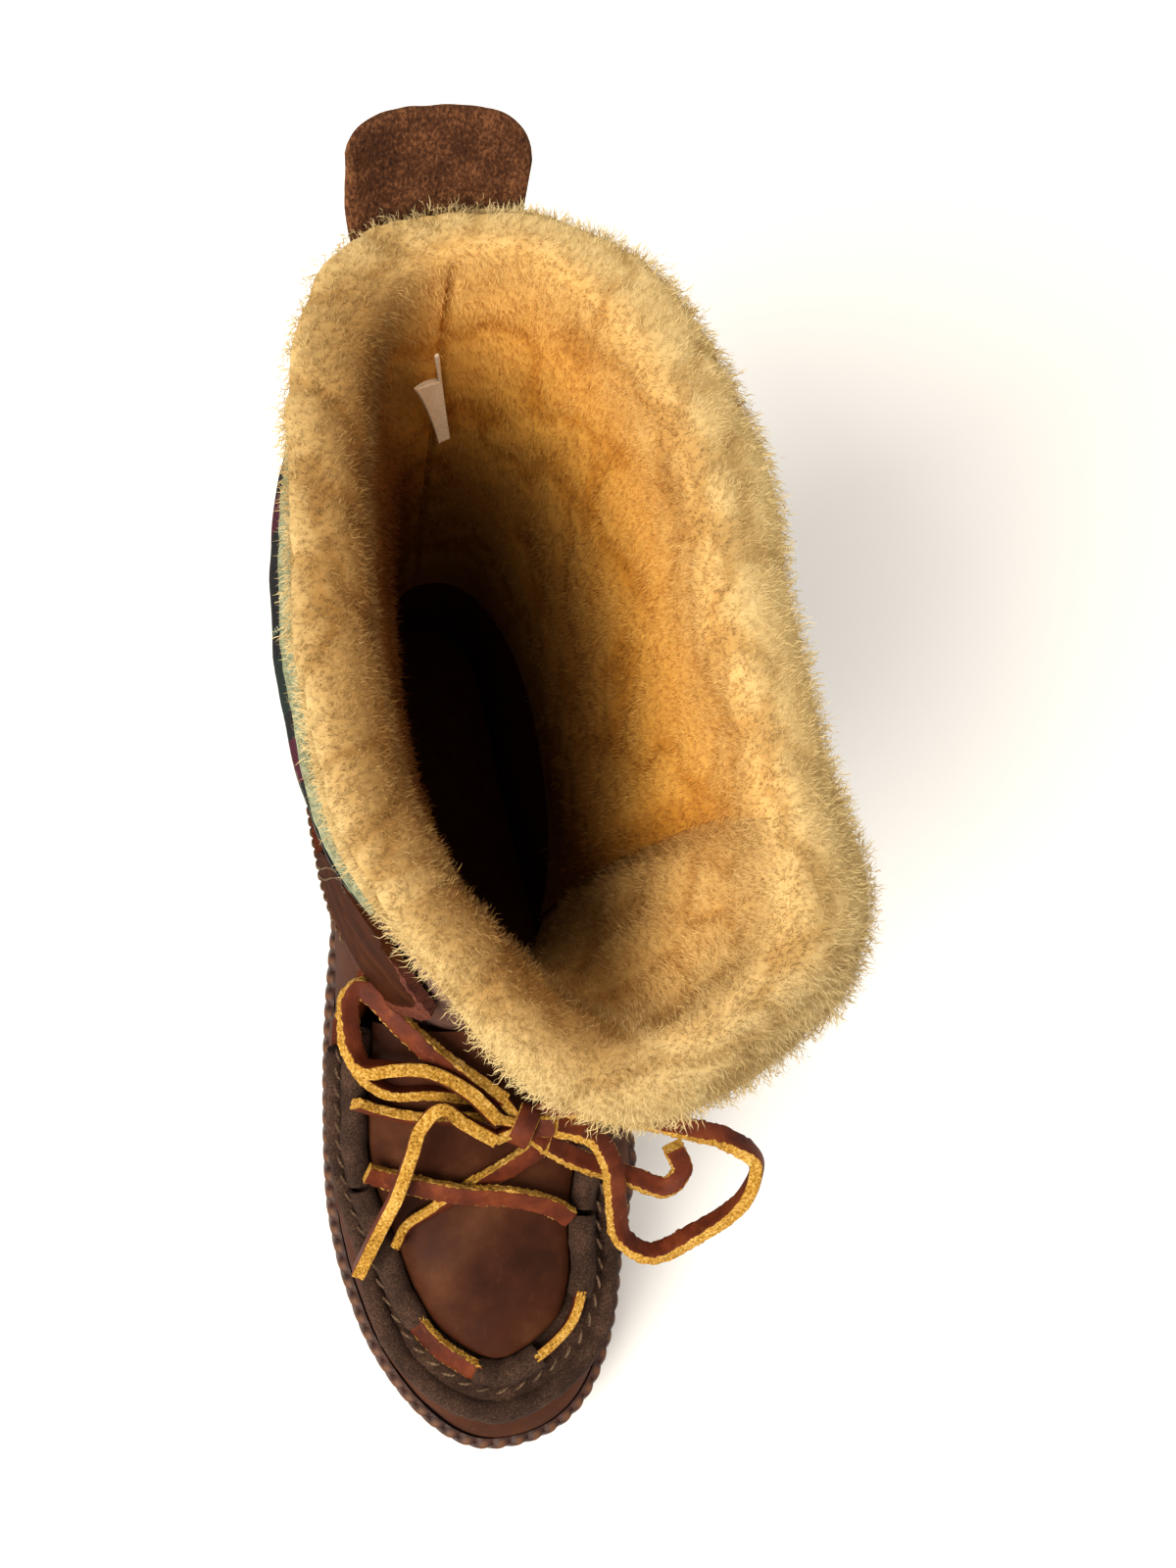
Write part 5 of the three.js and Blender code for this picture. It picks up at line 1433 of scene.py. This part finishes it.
def makeRim():
    count = rimSizes["ropes"] * rimSizes["steps"]
    turn = evenTurns(count)
    loops, worn = [], []
    for inset, share, rope, drop in rimSizes["profile"]:
        phase = np.arange(count) / rimSizes["steps"] + share * rimSizes["slant"]
        notch = 1 - np.sqrt(np.maximum(0, 1 - (2 * np.mod(phase, 1) - 1) ** 2))
        # the ropes' lighter crests: painted highlight
        worn.append(rimSizes["crestHighlight"] * (1 - notch) ** rimSizes["sharp"] * max(rope, drop) - rimSizes["kept"])
        sunk = rimSizes["drop"] * drop * notch
        loops.append(solePoint(turn, inset + rimSizes["relief"] * notch * rope,
                               lambda s: rimLow(s) + (feather(s) - rimLow(s)) * share - sunk))
    for inset in (sizes["rimWidth"] + rimSizes["behind"], rimSizes["inner"]):
        loops.append(solePoint(turn, inset, lambda s: feather(s) - sizes["rimDepth"]))
        worn.append(np.zeros(count))
    finish(loftPiece("midsoleRim", loops, attributes={"worn": worn}), "rim", "rim_rubber", "midsole")


makeRim()

outsoleSizes = {"around": 360, "rows": (  # inset and height
    (12, 2.2), (6.8, 2.2), (6.3, 0.3), (5.8, 0), (4, 0), (3.1, 0.35), (2.4, 1.4), (1.7, 4.2), (1.1, 7.2),
    (1.0, 8.6), (1.3, 9), (6, 9))}


def makeOutsole():
    turn = evenTurns(outsoleSizes["around"])
    loops = [solePoint(turn, inset, lambda s: under(s) + rise) for inset, rise in outsoleSizes["rows"]]
    finish(loftPiece("outsoleRubber", loops), "sole", "sole_rubber", "outsole")


makeOutsole()

treadSizes = {"first": 15, "last": 262, "pitch": 9.0, "chevron": 5, "inset": 8.5, "narrowest": 5,
              "section": ((-2.1, 0), (2.1, 0), (2.9, 2.6), (-2.9, 2.6))}


def makeTread():  # chevron bars across the recess under the sole
    bars = []
    across = np.linspace(-1, 1, 13)
    for middle in np.arange(treadSizes["first"], treadSizes["last"], treadSizes["pitch"]):
        station = middle + treadSizes["chevron"] * np.abs(across)
        half = [np.minimum(outlineSide(station - 4, side), outlineSide(station + 4, side)) - treadSizes["inset"]
                for side in ("medial", "lateral")]
        if min(half[0].min(), half[1].min()) < treadSizes["narrowest"]:
            continue
        side = np.where(across < 0, across * half[0], across * half[1])
        corners = [stack(side, toY(station + ahead), under(station + ahead) + rise)
                   for ahead, rise in treadSizes["section"]]
        bars.append(loftPiece("bar", np.stack(corners, 1)))
    finish(joinPieces("outsoleTread", bars), "sole", "sole_rubber")


makeTread()

insoleSizes = {"around": 160, "inset": 8, "lump": 0.5,
               "rows": ((0, 0), (-0.4, 4), (0.5, 6.4), (3, 8), (9, 8.3), (16, 8.4), (22, 8.4))}  # inset and height


def makeInsole():
    turn = np.arange(insoleSizes["around"]) / insoleSizes["around"]
    inset = sizes["rimWidth"] + insoleSizes["inset"]
    loops = []
    for k, (extra, rise) in enumerate(insoleSizes["rows"]):
        loop = solePoint(turn, inset + extra, lambda s: insoleHeight(s) + rise)
        loops.append(loop + stack(0, 0, insoleSizes["lump"] * ripple(loop, 13, 61)) if k > 1 else loop)
    # the whole insole gets the inside darkening: painted shade
    piece = loftPiece("insoleFleece", loops, attributes={"inside": np.ones(len(loops) * len(turn))})
    finish(piece, "fleece", "shearling", "insole")


makeInsole()

liningSizes = {"around": 200, "ceiling": 92, "below": 5, "from": 0.03, "up": 22, "pile": 2.8, "puff": 6,
               "lump": 0.7}


def makeFootLining():  # the fleece that lines the foot, below the shaft and behind the casings
    turn = (np.arange(liningSizes["around"]) / liningSizes["around"])[:, None]
    fine = np.linspace(0, 1, 60)
    heights = upperSurface(turn, fine[None, :])[..., 2]
    top = np.array([np.interp(min(liningSizes["ceiling"], line[-1] - liningSizes["below"]), line, fine)
                    for line in heights])[:, None]
    share = np.linspace(liningSizes["from"], 1, liningSizes["up"])[None, :]
    rise = top * share
    deep = liningSizes["pile"] + liningSizes["puff"] * np.sin(share * math.pi) ** 0.5
    lump = liningSizes["lump"] * ripple(upperPoint(turn, rise, -sizes["leather"] - 1), 12, 62)
    inner = upperPoint(turn, rise, -sizes["leather"] - deep - lump)
    outer = upperPoint(turn, top * np.linspace(1, liningSizes["from"], 7)[None, :], -sizes["leather"] - 0.6)
    loops = np.hstack([inner, outer])
    # the whole lining gets the inside darkening, painted shade, and the golden tone
    whole = np.ones(loops.shape[:2])
    piece = loftPiece("footLining", loops, ring=True, attributes={"inside": whole, "tone": whole})
    finish(piece, "fleece", "shearling")


makeFootLining()
print("sole and lining made")

# stage and light
stage = {"half": 3000, "paper": "#f4f3f1", "rough": 0.9, "lamps": "#fff8ee", "air": "#fffaf4", "strength": 0.52,
         "aim": (0, -0.08, 0.1)}
lights = (
    {"name": "keyPanel", "place": (-0.75, -0.55, 1.1), "size": 0.85, "power": 29.0},
    {"name": "fillPanel", "place": (0.9, -0.7, 0.9), "size": 1.0, "power": 3.5},
    {"name": "backPanel", "place": (0.5, 0.9, 1.1), "size": 0.8, "power": 6.0},
)


def makeStage():
    corners = [(x * stage["half"], y * stage["half"], 0) for x, y in ((-1, -1), (1, -1), (1, 1), (-1, 1))]
    floor = makeMesh("studioFloor", np.array(corners, float), [(0, 1, 2, 3)])
    paper = bpy.data.materials.new("whiteStudioPaper")
    paper.use_nodes = True
    shader = paper.node_tree.nodes["Principled BSDF"]
    feed(shader, {"Base Color": linear(stage["paper"]), "Roughness": stage["rough"]})
    floor.data.materials.append(paper)
    floor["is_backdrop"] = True


def makeLamp(look):
    data = bpy.data.lights.new(look["name"], "AREA")
    data.shape = "SQUARE"
    data.size = look["size"]
    data.energy = look["power"]
    data.color = linear(stage["lamps"])[:3]
    lamp = bpy.data.objects.new(look["name"], data)
    lamp.location = look["place"]
    x, y, z = -np.array(look["place"]) + stage["aim"]
    lamp.rotation_euler = (math.atan2(math.hypot(x, y), -z), 0, math.atan2(y, x) - math.pi / 2)
    bpy.context.collection.objects.link(lamp)


makeStage()
for look in lights:
    makeLamp(look)
world.use_nodes = True
feed(world.node_tree.nodes["Background"], {"Color": linear(stage["air"]), "Strength": stage["strength"]})
print("stage lit")

total = 0
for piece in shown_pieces():
    if piece.type == "MESH" and not piece.hide_render:
        piece.data.calc_loop_triangles()
        total += len(piece.data.loop_triangles)
print("triangles in all", total)
